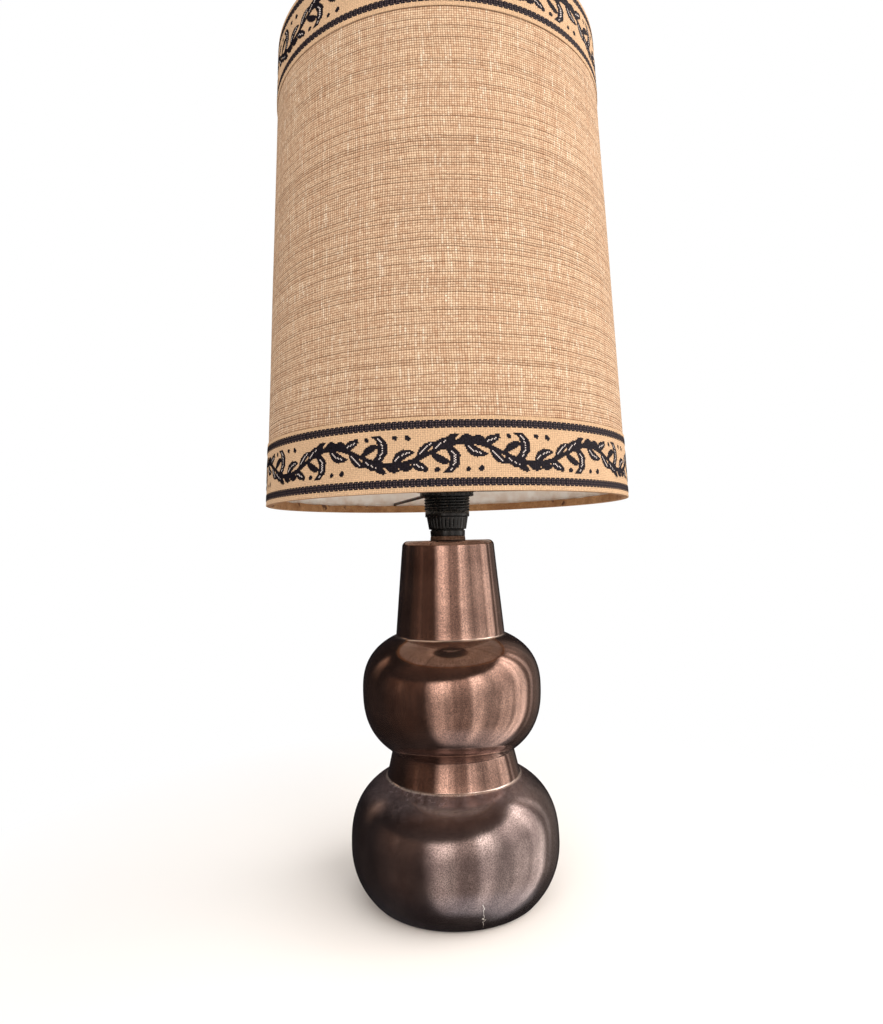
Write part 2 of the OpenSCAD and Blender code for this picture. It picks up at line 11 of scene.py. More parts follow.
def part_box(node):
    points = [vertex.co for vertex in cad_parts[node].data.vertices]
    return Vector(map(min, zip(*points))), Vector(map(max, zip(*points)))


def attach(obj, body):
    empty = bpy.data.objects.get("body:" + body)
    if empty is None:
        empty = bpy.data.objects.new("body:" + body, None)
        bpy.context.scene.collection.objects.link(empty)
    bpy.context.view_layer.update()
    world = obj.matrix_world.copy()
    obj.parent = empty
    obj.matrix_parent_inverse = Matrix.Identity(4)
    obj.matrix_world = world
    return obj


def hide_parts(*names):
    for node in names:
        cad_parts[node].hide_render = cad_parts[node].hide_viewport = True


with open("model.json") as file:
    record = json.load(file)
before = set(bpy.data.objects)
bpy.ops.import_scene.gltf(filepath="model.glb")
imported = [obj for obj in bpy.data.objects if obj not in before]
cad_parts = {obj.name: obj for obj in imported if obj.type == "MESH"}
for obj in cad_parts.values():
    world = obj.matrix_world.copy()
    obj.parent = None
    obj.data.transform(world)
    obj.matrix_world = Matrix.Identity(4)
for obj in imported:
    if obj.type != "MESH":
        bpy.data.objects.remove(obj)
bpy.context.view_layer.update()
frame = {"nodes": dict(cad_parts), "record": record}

bl_info = {
    "name": "Drum-shade table lamp",
    "version": (1, 0),
    "blender": (4, 5, 0),
    "location": "View3D > Sidebar > Lamp",
    "description": "Builds a table lamp with a glazed double-bulb base and a slub linen drum shade",
    "category": "Add Mesh",
}

MM = 0.001


def low(node):
    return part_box(node)[0]


def high(node):
    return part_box(node)[1]


def diameter(node):
    return high(node)[0] - low(node)[0]


# --------------------------------------------------------------------------- sizes and colours


def length(name, about, default):
    return FloatProperty(name=name, description=about, default=default, unit="LENGTH", min=0.0)


def hex_colour(name, about, default):
    return FloatVectorProperty(name=name, description=about, default=linear(default)[:3],
                               subtype="COLOR", size=3, min=0.0, max=1.0)


def linear(text, alpha=1.0):
    """An sRGB hex colour as the linear values that Blender's sockets take."""
    parts = [int(text[i:i + 2], 16) / 255 for i in (1, 3, 5)]
    return tuple(c / 12.92 if c <= 0.04045 else ((c + 0.055) / 1.055) ** 2.4 for c in parts) + (alpha,)


class LampBase(bpy.types.PropertyGroup):
    lower_bulb_d: length("Lower bulb diameter", "Lower bulb at its widest level",
                         diameter("ceramic_lower_bulb"))
    lower_rise: length("Lower bulb rise", "Full rise of its curve above the widest level", 63.9 * MM)
    lower_drop: length("Lower bulb drop", "Full drop of its curve below the widest level", 66.3 * MM)
    lower_rise_power: FloatProperty(name="Lower rise squareness", default=2.6,
                                    description="Superellipse power above the widest level")
    lower_drop_power: FloatProperty(name="Lower drop squareness", default=2.13,
                                    description="Superellipse power below the widest level")
    foot_d: length("Foot diameter", "Foot of the ceramic body", 143.9 * MM)
    waist_bottom_d: length("Waist bottom", "Diameter where the waist meets the lower bulb", 113.4 * MM)
    waist_top_d: length("Waist top", "Diameter where the waist meets the upper bulb", 103.2 * MM)
    waist_h: length("Waist height", "Height between the waist's two creases", 22 * MM)
    upper_bulb_d: length("Upper bulb diameter", "Upper bulb at its widest level", 153 * MM)
    upper_rise: length("Upper bulb rise", "Full rise of its curve above the widest level", 52.6 * MM)
    upper_drop: length("Upper bulb drop", "Full drop of its curve below the widest level", 60.9 * MM)
    upper_rise_power: FloatProperty(name="Upper rise squareness", default=2.5,
                                    description="Superellipse power above the widest level")
    upper_drop_power: FloatProperty(name="Upper drop squareness", default=2.45,
                                    description="Superellipse power below the widest level")
    neck_bottom_d: length("Neck bottom", "Diameter where the neck meets the upper bulb", 94.2 * MM)
    neck_top_d: length("Neck top", "Diameter of the neck at its top", 80.4 * MM)
    neck_edge_r: length("Neck edge", "Radius of the rounded edge at the neck's top", 5 * MM)
    wall: length("Wall", "Wall of the cast body", 5 * MM)
    crease_r: length("Crease", "Width of the glaze fillet in each crease", 0.9 * MM)
    throwing: length("Throwing marks", "How far the wall strays from a true curve", 0.22 * MM)


class LampHolder(bpy.types.PropertyGroup):
    thread_d: length("Thread diameter", "Outside thread of the shell", 40 * MM)
    thread_pitch: length("Thread pitch", "Pitch of the outside thread", 2.5 * MM)
    thread_depth: length("Thread depth", "Depth of the outside thread", 1.1 * MM)
    band_d: length("Band diameter", "Plain band under the thread", 38.6 * MM)
    band_h: length("Band height", "Height of the plain band", 4.8 * MM)
    bore_d: length("Bore", "Bore of the shell", 34 * MM)
    collar_h: length("Collar height", "Height of the cap's collar", 6 * MM)
    rib_count: IntProperty(name="Ribs", description="Grip ribs round the cap", default=30, min=8)
    rib_depth: length("Rib depth", "Depth of the grip ribs", 0.75 * MM)
    notch_count: IntProperty(name="Notches", description="Finger notches round a ring", default=24, min=6)
    notch_depth: length("Notch depth", "Depth of the finger notches", 0.8 * MM)


class LampShade(bpy.types.PropertyGroup):
    fabric_t: length("Linen thickness", "Thickness of the cover", 0.8 * MM)
    liner_t: length("Liner thickness", "Thickness of the liner", 0.6 * MM)
    hem_t: length("Tape thickness", "Thickness of the hem tape", 0.5 * MM)
    wire_d: length("Wire", "Diameter of the frame's wire", 3 * MM)
    thread_w: length("Thread spacing", "Spacing of the linen's threads", 1.75 * MM)
    cell: length("Trim cell", "Size of one woven cell of the trim", 0.8 * MM)
    yarn_t: length("Raised yarn", "How far the black yarn stands from the ground", 0.3 * MM)
    repeat: length("Trim repeat", "Length of the scroll pattern's repeat", 96.8 * MM)
    linen: hex_colour("Linen", "Main colour of the linen", "#C9A384")
    ground: hex_colour("Trim ground", "Gold ground of the trim", "#CBA987")
    yarn: hex_colour("Trim yarn", "Black yarn of the trim", "#09070B")


class LampBulb(bpy.types.PropertyGroup):
    glass_t: length("Glass", "Wall of the glass", 0.8 * MM)
    pitch: length("Cap pitch", "Pitch of the screw cap", 3.63 * MM)
    thread_depth: length("Cap thread", "Depth of the screw cap's thread", 1.1 * MM)


class LampStage(bpy.types.PropertyGroup):
    eye: FloatVectorProperty(name="Eye", description="Place of the camera", subtype="TRANSLATION",
                             default=(0.0, -0.596, 0.295))
    tilt: FloatProperty(name="Tilt", description="Camera's turn up from level", subtype="ANGLE",
                        default=math.radians(2.5))
    yaw: FloatProperty(name="Yaw", description="Camera's turn to the left", subtype="ANGLE",
                       default=math.radians(0.48))
    roll: FloatProperty(name="Roll", description="Camera's roll", subtype="ANGLE",
                        default=math.radians(-1.44))
    lens: FloatProperty(name="Lens", description="Focal length on a 36 mm sensor", default=23.9,
                        subtype="DISTANCE_CAMERA")


# --------------------------------------------------------------------------- helpers: meshes


def finish_piece(bm, name, body, materials, replaces=(), sharp=None, recalc=True):
    """Turns a bmesh into a finished piece at the origin."""
    if recalc:
        bmesh.ops.recalc_face_normals(bm, faces=bm.faces)
    mesh = bpy.data.meshes.new(name)
    bm.to_mesh(mesh)
    bm.free()
    mesh.shade_smooth()
    if sharp is not None:
        mesh.set_sharp_from_angle(angle=math.radians(sharp))
    for material in materials:
        mesh.materials.append(material)
    piece = bpy.data.objects.new(name, mesh)
    bpy.context.scene.collection.objects.link(piece)
    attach(piece, body)
    if replaces:
        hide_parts(*replaces)
    return piece


def spun(profile, segments, closed=True):
    """Spins a profile of (radius, height) points about the lamp's axis."""
    bm = bmesh.new()
    ring = [bm.verts.new((r, 0, z)) for r, z in profile]
    pairs = list(zip(ring, ring[1:] + ring[:1])) if closed else list(zip(ring, ring[1:]))
    edges = [bm.edges.new(pair) for pair in pairs]
    bmesh.ops.spin(bm, geom=ring + edges, cent=(0, 0, 0), axis=(0, 0, 1), angle=2 * math.pi,
                   steps=segments, use_merge=True)
    bmesh.ops.remove_doubles(bm, verts=bm.verts, dist=1e-6)
    return bm


def move_verts(bm, rule):
    """Moves each vertex by a rule that takes its angle, radius and height and returns a new radius."""
    for v in bm.verts:
        r = math.hypot(v.co.x, v.co.y)
        if r > 1e-5:
            scale = rule(math.atan2(v.co.y, v.co.x), r, v.co.z) / r
            v.co.x *= scale
            v.co.y *= scale


def arc(centre, radius, start, end, steps):
    """Points on an arc in the (radius, height) plane, angles in degrees."""
    out = []
    for i in range(steps + 1):
        a = math.radians(start + (end - start) * i / steps)
        out.append((centre[0] + radius * math.cos(a), centre[1] + radius * math.sin(a)))
    return out


def rounded(profile, radius, steps=3):
    """Rounds every corner of a closed profile that turns by more than 25 degrees."""
    out = []
    count = len(profile)
    for i, point in enumerate(profile):
        here, before, after = Vector(point), Vector(profile[i - 1]), Vector(profile[(i + 1) % count])
        a, b = before - here, after - here
        if min(a.length, b.length) < 1e-6 or a.angle(b) > math.radians(155) or point[0] < 1e-6:
            out.append(tuple(here))
            continue
        reach = min(radius, 0.4 * a.length, 0.4 * b.length)
        start, end = here + a.normalized() * reach, here + b.normalized() * reach
        for k in range(steps + 1):
            t = k / steps
            out.append(tuple((1 - t) ** 2 * start + 2 * t * (1 - t) * here + t ** 2 * end))
    return out


def cone_band(segments, rows, z0, z1, radius, inner, bump=None):
    """A closed band round the axis: a fine outer face, plain edges and a plain inner face.

    radius(z) and inner(z) give the two faces, bump[row, column] moves the outer face out.
    Its UV map is in metres: along the band, counted from the front, and up from its lower edge."""
    bm = bmesh.new()
    bmesh.ops.create_grid(bm, x_segments=segments, y_segments=rows, size=0.5)
    bm.verts.ensure_lookup_table()
    uv = bm.loops.layers.uv.new("UVMap")
    around = 2 * math.pi * radius((z0 + z1) / 2)
    for face in bm.faces:
        for loop in face.loops:
            loop[uv].uv = (loop.vert.co.x * around, (loop.vert.co.y + 0.5) * (z1 - z0))
    for v in bm.verts:
        s, t = v.co.x, v.co.y + 0.5
        z = z0 + (z1 - z0) * t
        r = radius(z)
        if bump is not None:
            r += float(bump[round(t * rows), round((s + 0.5) * segments)])
        a = s * 2 * math.pi - math.pi / 2
        v.co = (r * math.cos(a), r * math.sin(a), z)
    bmesh.ops.remove_doubles(bm, verts=bm.verts, dist=1e-6)
    loops = []
    for z in (z0, z1):
        rim = [e for e in bm.edges if e.is_boundary and abs(e.verts[0].co.z - z) < 1e-6
               and abs(e.verts[1].co.z - z) < 1e-6]
        made = bmesh.ops.extrude_edge_only(bm, edges=rim)["geom"]
        for v in made:
            if isinstance(v, bmesh.types.BMVert):
                r = math.hypot(v.co.x, v.co.y)
                v.co.x *= inner(z) / r
                v.co.y *= inner(z) / r
        loops += [e for e in made if isinstance(e, bmesh.types.BMEdge)]
    bmesh.ops.bridge_loops(bm, edges=loops)
    return bm


# --------------------------------------------------------------------------- helpers: materials


def node(tree, kind, at=None, **settings):
    """Adds a node. A setting that names a socket is a value or a link, any other is a property."""
    made = tree.nodes.new(kind)
    for key, value in settings.items():
        if hasattr(made, key) and key not in ("color",):
            setattr(made, key, value)
    for key, value in (at or {}).items():
        socket = made.inputs[key]
        if isinstance(value, bpy.types.NodeSocket):
            tree.links.new(value, socket)
        else:
            socket.default_value = value
    return made


def new_material(name, **surface):
    """A material with a Principled surface whose sockets are set by name."""
    material = bpy.data.materials.new(name)
    material.use_nodes = True
    tree = material.node_tree
    tree.nodes.clear()
    shader = node(tree, "ShaderNodeBsdfPrincipled", surface)
    output = node(tree, "ShaderNodeOutputMaterial", {"Surface": shader.outputs[0]})
    output.location.x = 300
    return material, tree, shader


def link(tree, source, shader, socket):
    tree.links.new(source, shader.inputs[socket])


def mix(tree, factor, a, b, kind="MIX"):
    made = node(tree, "ShaderNodeMix", {0: factor, 6: a, 7: b}, data_type="RGBA", blend_type=kind)
    return made.outputs[2]


def plus(tree, total, amount, colour):
    """total plus amount times colour, where amount may be over 1."""
    added = node(tree, "ShaderNodeVectorMath", {0: colour[:3], 1: (1, 1, 1), 2: (0, 0, 0)}, operation="SCALE")
    tree.links.new(amount, added.inputs["Scale"])
    return node(tree, "ShaderNodeVectorMath", {0: total, 1: added.outputs[0]}, operation="ADD").outputs[0]


def maths(tree, operation, a, b=0.0, clamp=False):
    return node(tree, "ShaderNodeMath", {0: a, 1: b}, operation=operation, use_clamp=clamp).outputs[0]


def ramp(tree, value, low_in, high_in, low_out=0.0, high_out=1.0):
    """A clamped straight map from one range to another."""
    return node(tree, "ShaderNodeMapRange", {"Value": value, "From Min": low_in, "From Max": high_in,
                                             "To Min": low_out, "To Max": high_out}).outputs[0]


def blotches(tree, where, size_mm, detail=3.0, roughness=0.5):
    """Noise whose patches are about size_mm across, 0.5 on average."""
    return node(tree, "ShaderNodeTexNoise", {"Vector": where, "Scale": 1 / (size_mm * MM),
                                             "Detail": detail, "Roughness": roughness}).outputs[0]


def bumped(tree, shader, height, distance_mm, strength=1.0):
    made = node(tree, "ShaderNodeBump", {"Height": height, "Distance": distance_mm * MM,
                                         "Strength": strength})
    link(tree, made.outputs[0], shader, "Normal")


def object_place(tree):
    return node(tree, "ShaderNodeTexCoord").outputs["Object"]


def uv_place(tree):
    return node(tree, "ShaderNodeUVMap", uv_map="UVMap").outputs[0]


def split(tree, place):
    return node(tree, "ShaderNodeSeparateXYZ", {0: place}).outputs


def tone(tree, factor, dark, light):
    return mix(tree, factor, linear(dark), linear(light))


# --------------------------------------------------------------------------- materials


def bronze_lustre_glaze(levels):
    """Stoneware fired with a bronze lustre glaze: a thin metallic film, near black where it
    reflects nothing and coppery where it does, finely speckled, greyer and duller on the lower bulb."""
    material, tree, shader = new_material("bronze_lustre_glaze", Metallic=0.95)
    shader.inputs["Coat Weight"].default_value = 0.35
    shader.inputs["Coat Roughness"].default_value = 0.12
    place = object_place(tree)
    x, y, z = split(tree, place)
    mottle = blotches(tree, place, 22, 4.0, 0.6)
    speckle = blotches(tree, place, 0.8, 2.0, 0.7)
    upper = ramp(tree, z, levels["waist_low"] - 6 * MM, levels["waist_low"] + 2 * MM)
    copper = tone(tree, ramp(tree, mottle, 0.35, 0.7), "#8C6C5F", "#AE8B7C")
    dull = tone(tree, ramp(tree, mottle, 0.35, 0.7), "#837270", "#A3928E")
    base = mix(tree, upper, dull, copper)
    base = mix(tree, ramp(tree, speckle, 0.4, 0.62, 0.0, 0.65), base, linear("#3E302C"))
    # The dusty band of residue under the waist crease, broken up along its lower edge
    ragged = maths(tree, "ADD", z, maths(tree, "MULTIPLY", blotches(tree, place, 14, 3.0), 12 * MM))
    ragged = maths(tree, "SUBTRACT", ragged, maths(tree, "MULTIPLY", x, 0.06))
    band = maths(tree, "MULTIPLY", ramp(tree, ragged, levels["waist_low"] - 8 * MM,
                                        levels["waist_low"] + 8 * MM),
                 ramp(tree, z, levels["waist_low"] + 0.5 * MM, levels["waist_low"] - 0.5 * MM))
    dust = maths(tree, "MULTIPLY", band, ramp(tree, blotches(tree, place, 3.5, 4.0), 0.3, 0.7, 0.25, 0.6))
    base = mix(tree, dust, base, linear("#8C8088"))
    # Painted highlight: a pale line along the waist's lower crease and the neck's crease, where the glaze
    # fillet would catch the light
    for crease in (levels["waist_low"], levels["neck_low"]):
        near = maths(tree, "ABSOLUTE", maths(tree, "SUBTRACT", z, crease))
        base = mix(tree, ramp(tree, near, 0.3 * MM, 1.0 * MM, 0.75, 0.0), base, linear("#F2DDD0"))
    # Pinholes in the glaze, in one cell of four
    cells = node(tree, "ShaderNodeTexVoronoi", {"Vector": place, "Scale": 1 / (16 * MM)}).outputs
    chosen = maths(tree, "LESS_THAN", split(tree, cells["Color"])[0], 0.25)
    pits = maths(tree, "MULTIPLY", ramp(tree, cells["Distance"], 0.03, 0.055, 1.0, 0.0), chosen)
    base = mix(tree, maths(tree, "MULTIPLY", pits, 0.8), base, linear("#1E1412"))
    # The zigzag hairline crack low on the front
    zigzag = blotches(tree, place, 5, 2.0)
    run = maths(tree, "ADD", maths(tree, "MULTIPLY", z, 0.125), 17.5 * MM)
    run = maths(tree, "ADD", run, maths(tree, "MULTIPLY", maths(tree, "SUBTRACT", zigzag, 0.5), 9 * MM))
    off = maths(tree, "ABSOLUTE", maths(tree, "SUBTRACT", x, run))
    crack = maths(tree, "MULTIPLY", ramp(tree, off, 0.12 * MM, 0.4 * MM, 1.0, 0.0),
                  ramp(tree, z, 27 * MM, 29 * MM, 1.0, 0.0))
    crack = maths(tree, "MULTIPLY", crack, maths(tree, "LESS_THAN", y, 0.0))
    crack = maths(tree, "MULTIPLY", crack, ramp(tree, z, 4 * MM, 7 * MM))
    base = mix(tree, maths(tree, "MULTIPLY", crack, 0.85), base, linear("#E6E0D8"))
    link(tree, base, shader, "Base Color")
    link(tree, maths(tree, "SUBTRACT", 0.95, maths(tree, "MULTIPLY", maths(tree, "MAXIMUM", dust, crack),
                                                   0.6)),
         shader, "Metallic")
    rough = maths(tree, "ADD", ramp(tree, upper, 0.0, 1.0, 0.15, 0.08),
                  maths(tree, "MULTIPLY", speckle, 0.07))
    rough = maths(tree, "ADD", rough, maths(tree, "MULTIPLY", dust, 0.15))
    link(tree, rough, shader, "Roughness")
    peel = maths(tree, "ADD", maths(tree, "MULTIPLY", speckle, 0.45),
                 maths(tree, "MULTIPLY", blotches(tree, place, 5, 2.0), 0.8))
    peel = maths(tree, "SUBTRACT", peel, maths(tree, "ADD", crack, pits))
    bumped(tree, shader, peel, 0.08, 0.25)
    return material


def slub_linen(spacing, colour):
    """Coarse slub linen, plain weave and undyed: uneven threads, open gaps between the weft threads and
    lighter, fatter slubs in the warp, with painted shade in the gaps and round each crossing."""
    material, tree, shader = new_material("slub_linen", Roughness=0.86)
    shader.inputs["Specular IOR Level"].default_value = 0.2
    place = uv_place(tree)
    wander = blotches(tree, place, 30, 2.0)
    u, v, _ = split(tree, place)
    u = maths(tree, "ADD", u, maths(tree, "MULTIPLY", blotches(tree, place, 70, 1.0), 6 * MM))
    v = maths(tree, "ADD", v, maths(tree, "MULTIPLY", wander, 2.2 * MM))
    across, along = maths(tree, "DIVIDE", u, spacing), maths(tree, "DIVIDE", v, spacing)
    iu, iv = maths(tree, "FLOOR", across), maths(tree, "FLOOR", along)
    fu, fv = maths(tree, "FRACT", across), maths(tree, "FRACT", along)

    def chance(a, b):
        vector = node(tree, "ShaderNodeCombineXYZ", {0: a, 1: b, 2: 0.5}).outputs[0]
        return node(tree, "ShaderNodeTexWhiteNoise", {"Vector": vector}).outputs[0]

    def round_top(fraction):
        return maths(tree, "SINE", maths(tree, "MULTIPLY", fraction, math.pi))

    def runs(a, b):
        vector = node(tree, "ShaderNodeCombineXYZ", {0: a, 1: b}).outputs[0]
        return node(tree, "ShaderNodeTexNoise", {"Vector": vector, "Scale": 1.0, "Detail": 2.0}).outputs[0]

    # Each crossing stands up as a bead, some fatter than others, with painted shade in the four corners
    # between beads
    bead = maths(tree, "POWER", maths(tree, "MULTIPLY", round_top(fu), round_top(fv)), 0.55)
    odd = chance(iu, iv)
    bead = maths(tree, "MULTIPLY", bead, ramp(tree, odd, 0.0, 1.0, 0.72, 1.0))
    # Long uneven gaps between weft threads, with the thread above each standing proud; the gaps are darkened
    # with painted shade
    wide = maths(tree, "MULTIPLY", ramp(tree, chance(iv, 3.7), 0.4, 0.85), ramp(
        tree, runs(maths(tree, "MULTIPLY", u, 1 / (34 * MM)), maths(tree, "MULTIPLY", iv, 1.37)), 0.3, 0.55,
                                                                                0.4, 1.0))
    gap = maths(tree, "MULTIPLY", wide, ramp(tree, fv, 0.12, 0.55, 1.0, 0.0))
    # Slubs: runs of a fat pale warp thread that shows where it lies on top
    slub = maths(tree, "MULTIPLY", ramp(tree,
                                        runs(maths(tree, "MULTIPLY", iu, 1.37),
                                             maths(tree, "MULTIPLY", v, 1 / (24 * MM))), 0.54, 0.68),
                 ramp(tree, chance(iu, iv), 0.25, 0.75, 0.3, 1.0))
    slub = maths(tree, "MULTIPLY", slub, bead)
    tones = maths(tree, "ADD", maths(tree, "MULTIPLY", chance(iu, 1.3), 0.3),
                  maths(tree, "ADD", maths(tree, "MULTIPLY", odd, 0.45),
                        maths(tree, "MULTIPLY", chance(iv, 9.1), 0.25)))
    base = mix(tree, ramp(tree, tones, 0.1, 0.9), shade_of(colour, 1.0), linear("#E3C6A6"))
    # Painted shade: each bead darkens towards its low edges and corners
    base = mix(tree, ramp(tree, bead, 0.7, 0.05, 0.0, 0.9), base, linear("#6E4526"))
    # Painted shade in the gaps between weft threads
    base = mix(tree, maths(tree, "MULTIPLY", gap, 0.62), base, linear("#5A3519"))
    base = mix(tree, maths(tree, "MULTIPLY", slub, 0.8), base, linear("#FBE6CC"))
    base = mix(tree, ramp(tree, wander, 0.45, 0.7, 0.0, 0.18), base, shade_of(colour, 0.75))
    link(tree, base, shader, "Base Color")
    relief = maths(tree, "ADD", bead, maths(tree, "MULTIPLY", slub, 0.7))
    bumped(tree, shader, maths(tree, "SUBTRACT", relief, gap), 0.4, 1.0)
    return material


def shade_of(colour, factor):
    return tuple(min(1.0, c * factor) for c in colour[:3]) + (1.0,)


def woven_yarn(name, colour, spacing_mm, gloss=0.8, lightest=1.2):
    """Galloon yarn: a fine rib from the loom, with each rib a little lighter or darker, and painted shade in
    the grooves between the ribs.
    """
    material, tree, shader = new_material(name, Roughness=gloss)
    shader.inputs["Specular IOR Level"].default_value = 0.12
    place = uv_place(tree)
    u, v, _ = split(tree, place)
    rib = maths(tree, "SINE", maths(tree, "MULTIPLY", u, 2 * math.pi / (spacing_mm * MM)))
    pick = maths(tree, "SINE", maths(tree, "MULTIPLY", v, 2 * math.pi / (spacing_mm * 0.8 * MM)))
    relief = maths(tree, "ADD", maths(tree, "MULTIPLY", rib, 0.3), maths(tree, "MULTIPLY", pick, 0.3))
    fuzz = blotches(tree, place, 1.1, 3.0)
    worn = blotches(tree, place, 26, 3.0)
    base = mix(tree, ramp(tree, fuzz, 0.32, 0.68), shade_of(colour, 0.72), shade_of(colour, lightest))
    # Painted shade: darker where the rib and pick relief is low
    base = mix(tree, ramp(tree, relief, 0.15, -0.45, 0.0, 0.55), base, shade_of(colour, 0.45))
    base = mix(tree, ramp(tree, worn, 0.5, 0.75, 0.0, 0.25), base, shade_of(colour, 1.35))
    link(tree, base, shader, "Base Color")
    bumped(tree, shader, maths(tree, "ADD", relief, fuzz), 0.12, 0.6)
    return material


def hem_tape():
    """Cotton tape, glued and folded, browned by old glue and by rust from the wire."""
    material, tree, shader = new_material("cotton_hem_tape", Roughness=0.9)
    place = object_place(tree)
    stain = blotches(tree, place, 14, 5.0, 0.65)
    fine = blotches(tree, place, 1.6, 3.0)
    base = tone(tree, ramp(tree, stain, 0.3, 0.65), "#8A5A34", "#B98A5C")
    rust = ramp(tree, blotches(tree, place, 11, 3.0), 0.64, 0.7)
    base = mix(tree, maths(tree, "MULTIPLY", rust, 0.85), base, linear("#3A1C10"))
    base = mix(tree, ramp(tree, fine, 0.4, 0.7, 0.0, 0.35), base, linear("#6A4326"))
    link(tree, base, shader, "Base Color")
    bumped(tree, shader, fine, 0.2, 0.5)
    return material


def white_liner(bottom, top):
    """Stiff styrene sheet laminated behind the linen: matt, yellowed and stained near the hems."""
    material, tree, shader = new_material("styrene_liner", Roughness=0.55)
    place = object_place(tree)
    _, _, z = split(tree, place)
    cloud = blotches(tree, place, 45, 4.0)
    near = maths(tree, "MAXIMUM", ramp(tree, z, bottom + 30 * MM, bottom + 6 * MM),
                 ramp(tree, z, top - 30 * MM, top - 6 * MM))
    base = tone(tree, ramp(tree, cloud, 0.35, 0.7), "#F1E6DA", "#FBF5EC")
    stain = maths(tree, "MULTIPLY", near, ramp(tree, blotches(tree, place, 12, 4.0), 0.42, 0.65))
    base = mix(tree, maths(tree, "MULTIPLY", stain, 0.5), base, linear("#C79B74"))
    link(tree, base, shader, "Base Color")
    bumped(tree, shader, blotches(tree, place, 1.8, 2.0), 0.08, 0.4)
    return material


def black_phenolic():
    """Moulded black phenolic: a deep semi-gloss with patches of dust and a fine grain."""
    material, tree, shader = new_material("black_phenolic", IOR=1.5)
    shader.inputs["Specular IOR Level"].default_value = 0.4
    place = object_place(tree)
    dust = blotches(tree, place, 3, 4.0)
    grain = blotches(tree, place, 0.7, 2.0)
    base = tone(tree, ramp(tree, dust, 0.45, 0.75), "#070707", "#171514")
    link(tree, base, shader, "Base Color")
    link(tree, ramp(tree, dust, 0.3, 0.7, 0.18, 0.38), shader, "Roughness")
    bumped(tree, shader, grain, 0.04, 0.4)
    return material


def metal(name, dark, light, roughness, patch_mm=6.0, spread=0.15, relief=0.03):
    """A bare or plated metal with a slightly uneven polish."""
    material, tree, shader = new_material(name, Metallic=1.0)
    place = object_place(tree)
    patch = blotches(tree, place, patch_mm, 4.0)
    link(tree, tone(tree, ramp(tree, patch, 0.3, 0.7), dark, light), shader, "Base Color")
    link(tree, ramp(tree, patch, 0.3, 0.7, roughness + spread, roughness), shader, "Roughness")
    bumped(tree, shader, blotches(tree, place, 0.5, 2.0), relief, 0.4)
    return material


def lacquered_wire():
    """Drawn steel wire dipped in brown-black lacquer, with rust breaking through."""
    material, tree, shader = new_material("lacquered_wire")
    place = object_place(tree)
    rust = ramp(tree, blotches(tree, place, 5, 4.0), 0.52, 0.66)
    link(tree, tone(tree, rust, "#1E1714", "#6A3A20"), shader, "Base Color")
    link(tree, ramp(tree, rust, 0.0, 1.0, 0.35, 0.85), shader, "Roughness")
    bumped(tree, shader, rust, 0.08, 0.5)
    return material


def matt(name, dark, light, roughness, patch_mm, relief_mm, ior=1.5):
    """A plain matt solid whose colour and surface vary by patches of one size."""
    material, tree, shader = new_material(name, Roughness=roughness, IOR=ior)
    place = object_place(tree)
    patch = blotches(tree, place, patch_mm, 5.0, 0.6)
    link(tree, tone(tree, ramp(tree, patch, 0.3, 0.7), dark, light), shader, "Base Color")
    bumped(tree, shader, patch, relief_mm, 0.6)
    return material


def frosted_glass():
    """Soda-lime glass, etched white inside: smooth outside, light goes through it scattered."""
    material, tree, shader = new_material("frosted_glass", IOR=1.5)
    shader.inputs["Transmission Weight"].default_value = 0.55
    shader.inputs["Coat Weight"].default_value = 1.0
    shader.inputs["Coat Roughness"].default_value = 0.05
    place = object_place(tree)
    cloud = blotches(tree, place, 18, 3.0)
    link(tree, tone(tree, ramp(tree, cloud, 0.3, 0.7), "#E8E8E3", "#F7F7F4"), shader, "Base Color")
    link(tree, ramp(tree, cloud, 0.3, 0.7, 0.42, 0.5), shader, "Roughness")
    return material


def clear_glass():
    """Drawn lead-glass stem: clear, with a faint ripple from the flame."""
    material, tree, shader = new_material("drawn_glass", IOR=1.55, Roughness=0.03)
    shader.inputs["Transmission Weight"].default_value = 1.0
    bumped(tree, shader, blotches(tree, object_place(tree), 2, 2.0), 0.05, 0.3)
    return material


# --------------------------------------------------------------------------- the base


def half_curve(r_max, h_max, power, end, steps):
    """Points of a superellipse from its widest level to the angle end, in radians."""
    out = []
    for i in range(steps + 1):
        t = end * i / steps
        out.append((r_max * math.cos(t) ** (2 / power), h_max * math.sin(t) ** (2 / power)))
    return out


def half_height(r_max, h_max, power, r):
    return h_max * (1 - (r / r_max) ** power) ** (1 / power)


def base_levels(size):
    """Heights of the body's widest levels and creases, stacked from the foot."""
    foot = low("ceramic_lower_bulb")[2]
    lower = foot + half_height(size.lower_bulb_d / 2, size.lower_drop, size.lower_drop_power, size.foot_d / 2)
    waist_low = lower + half_height(size.lower_bulb_d / 2, size.lower_rise, size.lower_rise_power,
                                    size.waist_bottom_d / 2)
    waist_high = waist_low + size.waist_h
    upper = waist_high + half_height(size.upper_bulb_d / 2, size.upper_drop, size.upper_drop_power,
                                     size.waist_top_d / 2)
    neck_low = upper + half_height(size.upper_bulb_d / 2, size.upper_rise, size.upper_rise_power,
                                   size.neck_bottom_d / 2)
    return {"foot": foot, "lower": lower, "neck_low": neck_low, "waist_low": waist_low,
            "waist_high": waist_high,
            "upper": upper, "top": high("ceramic_neck")[2]}


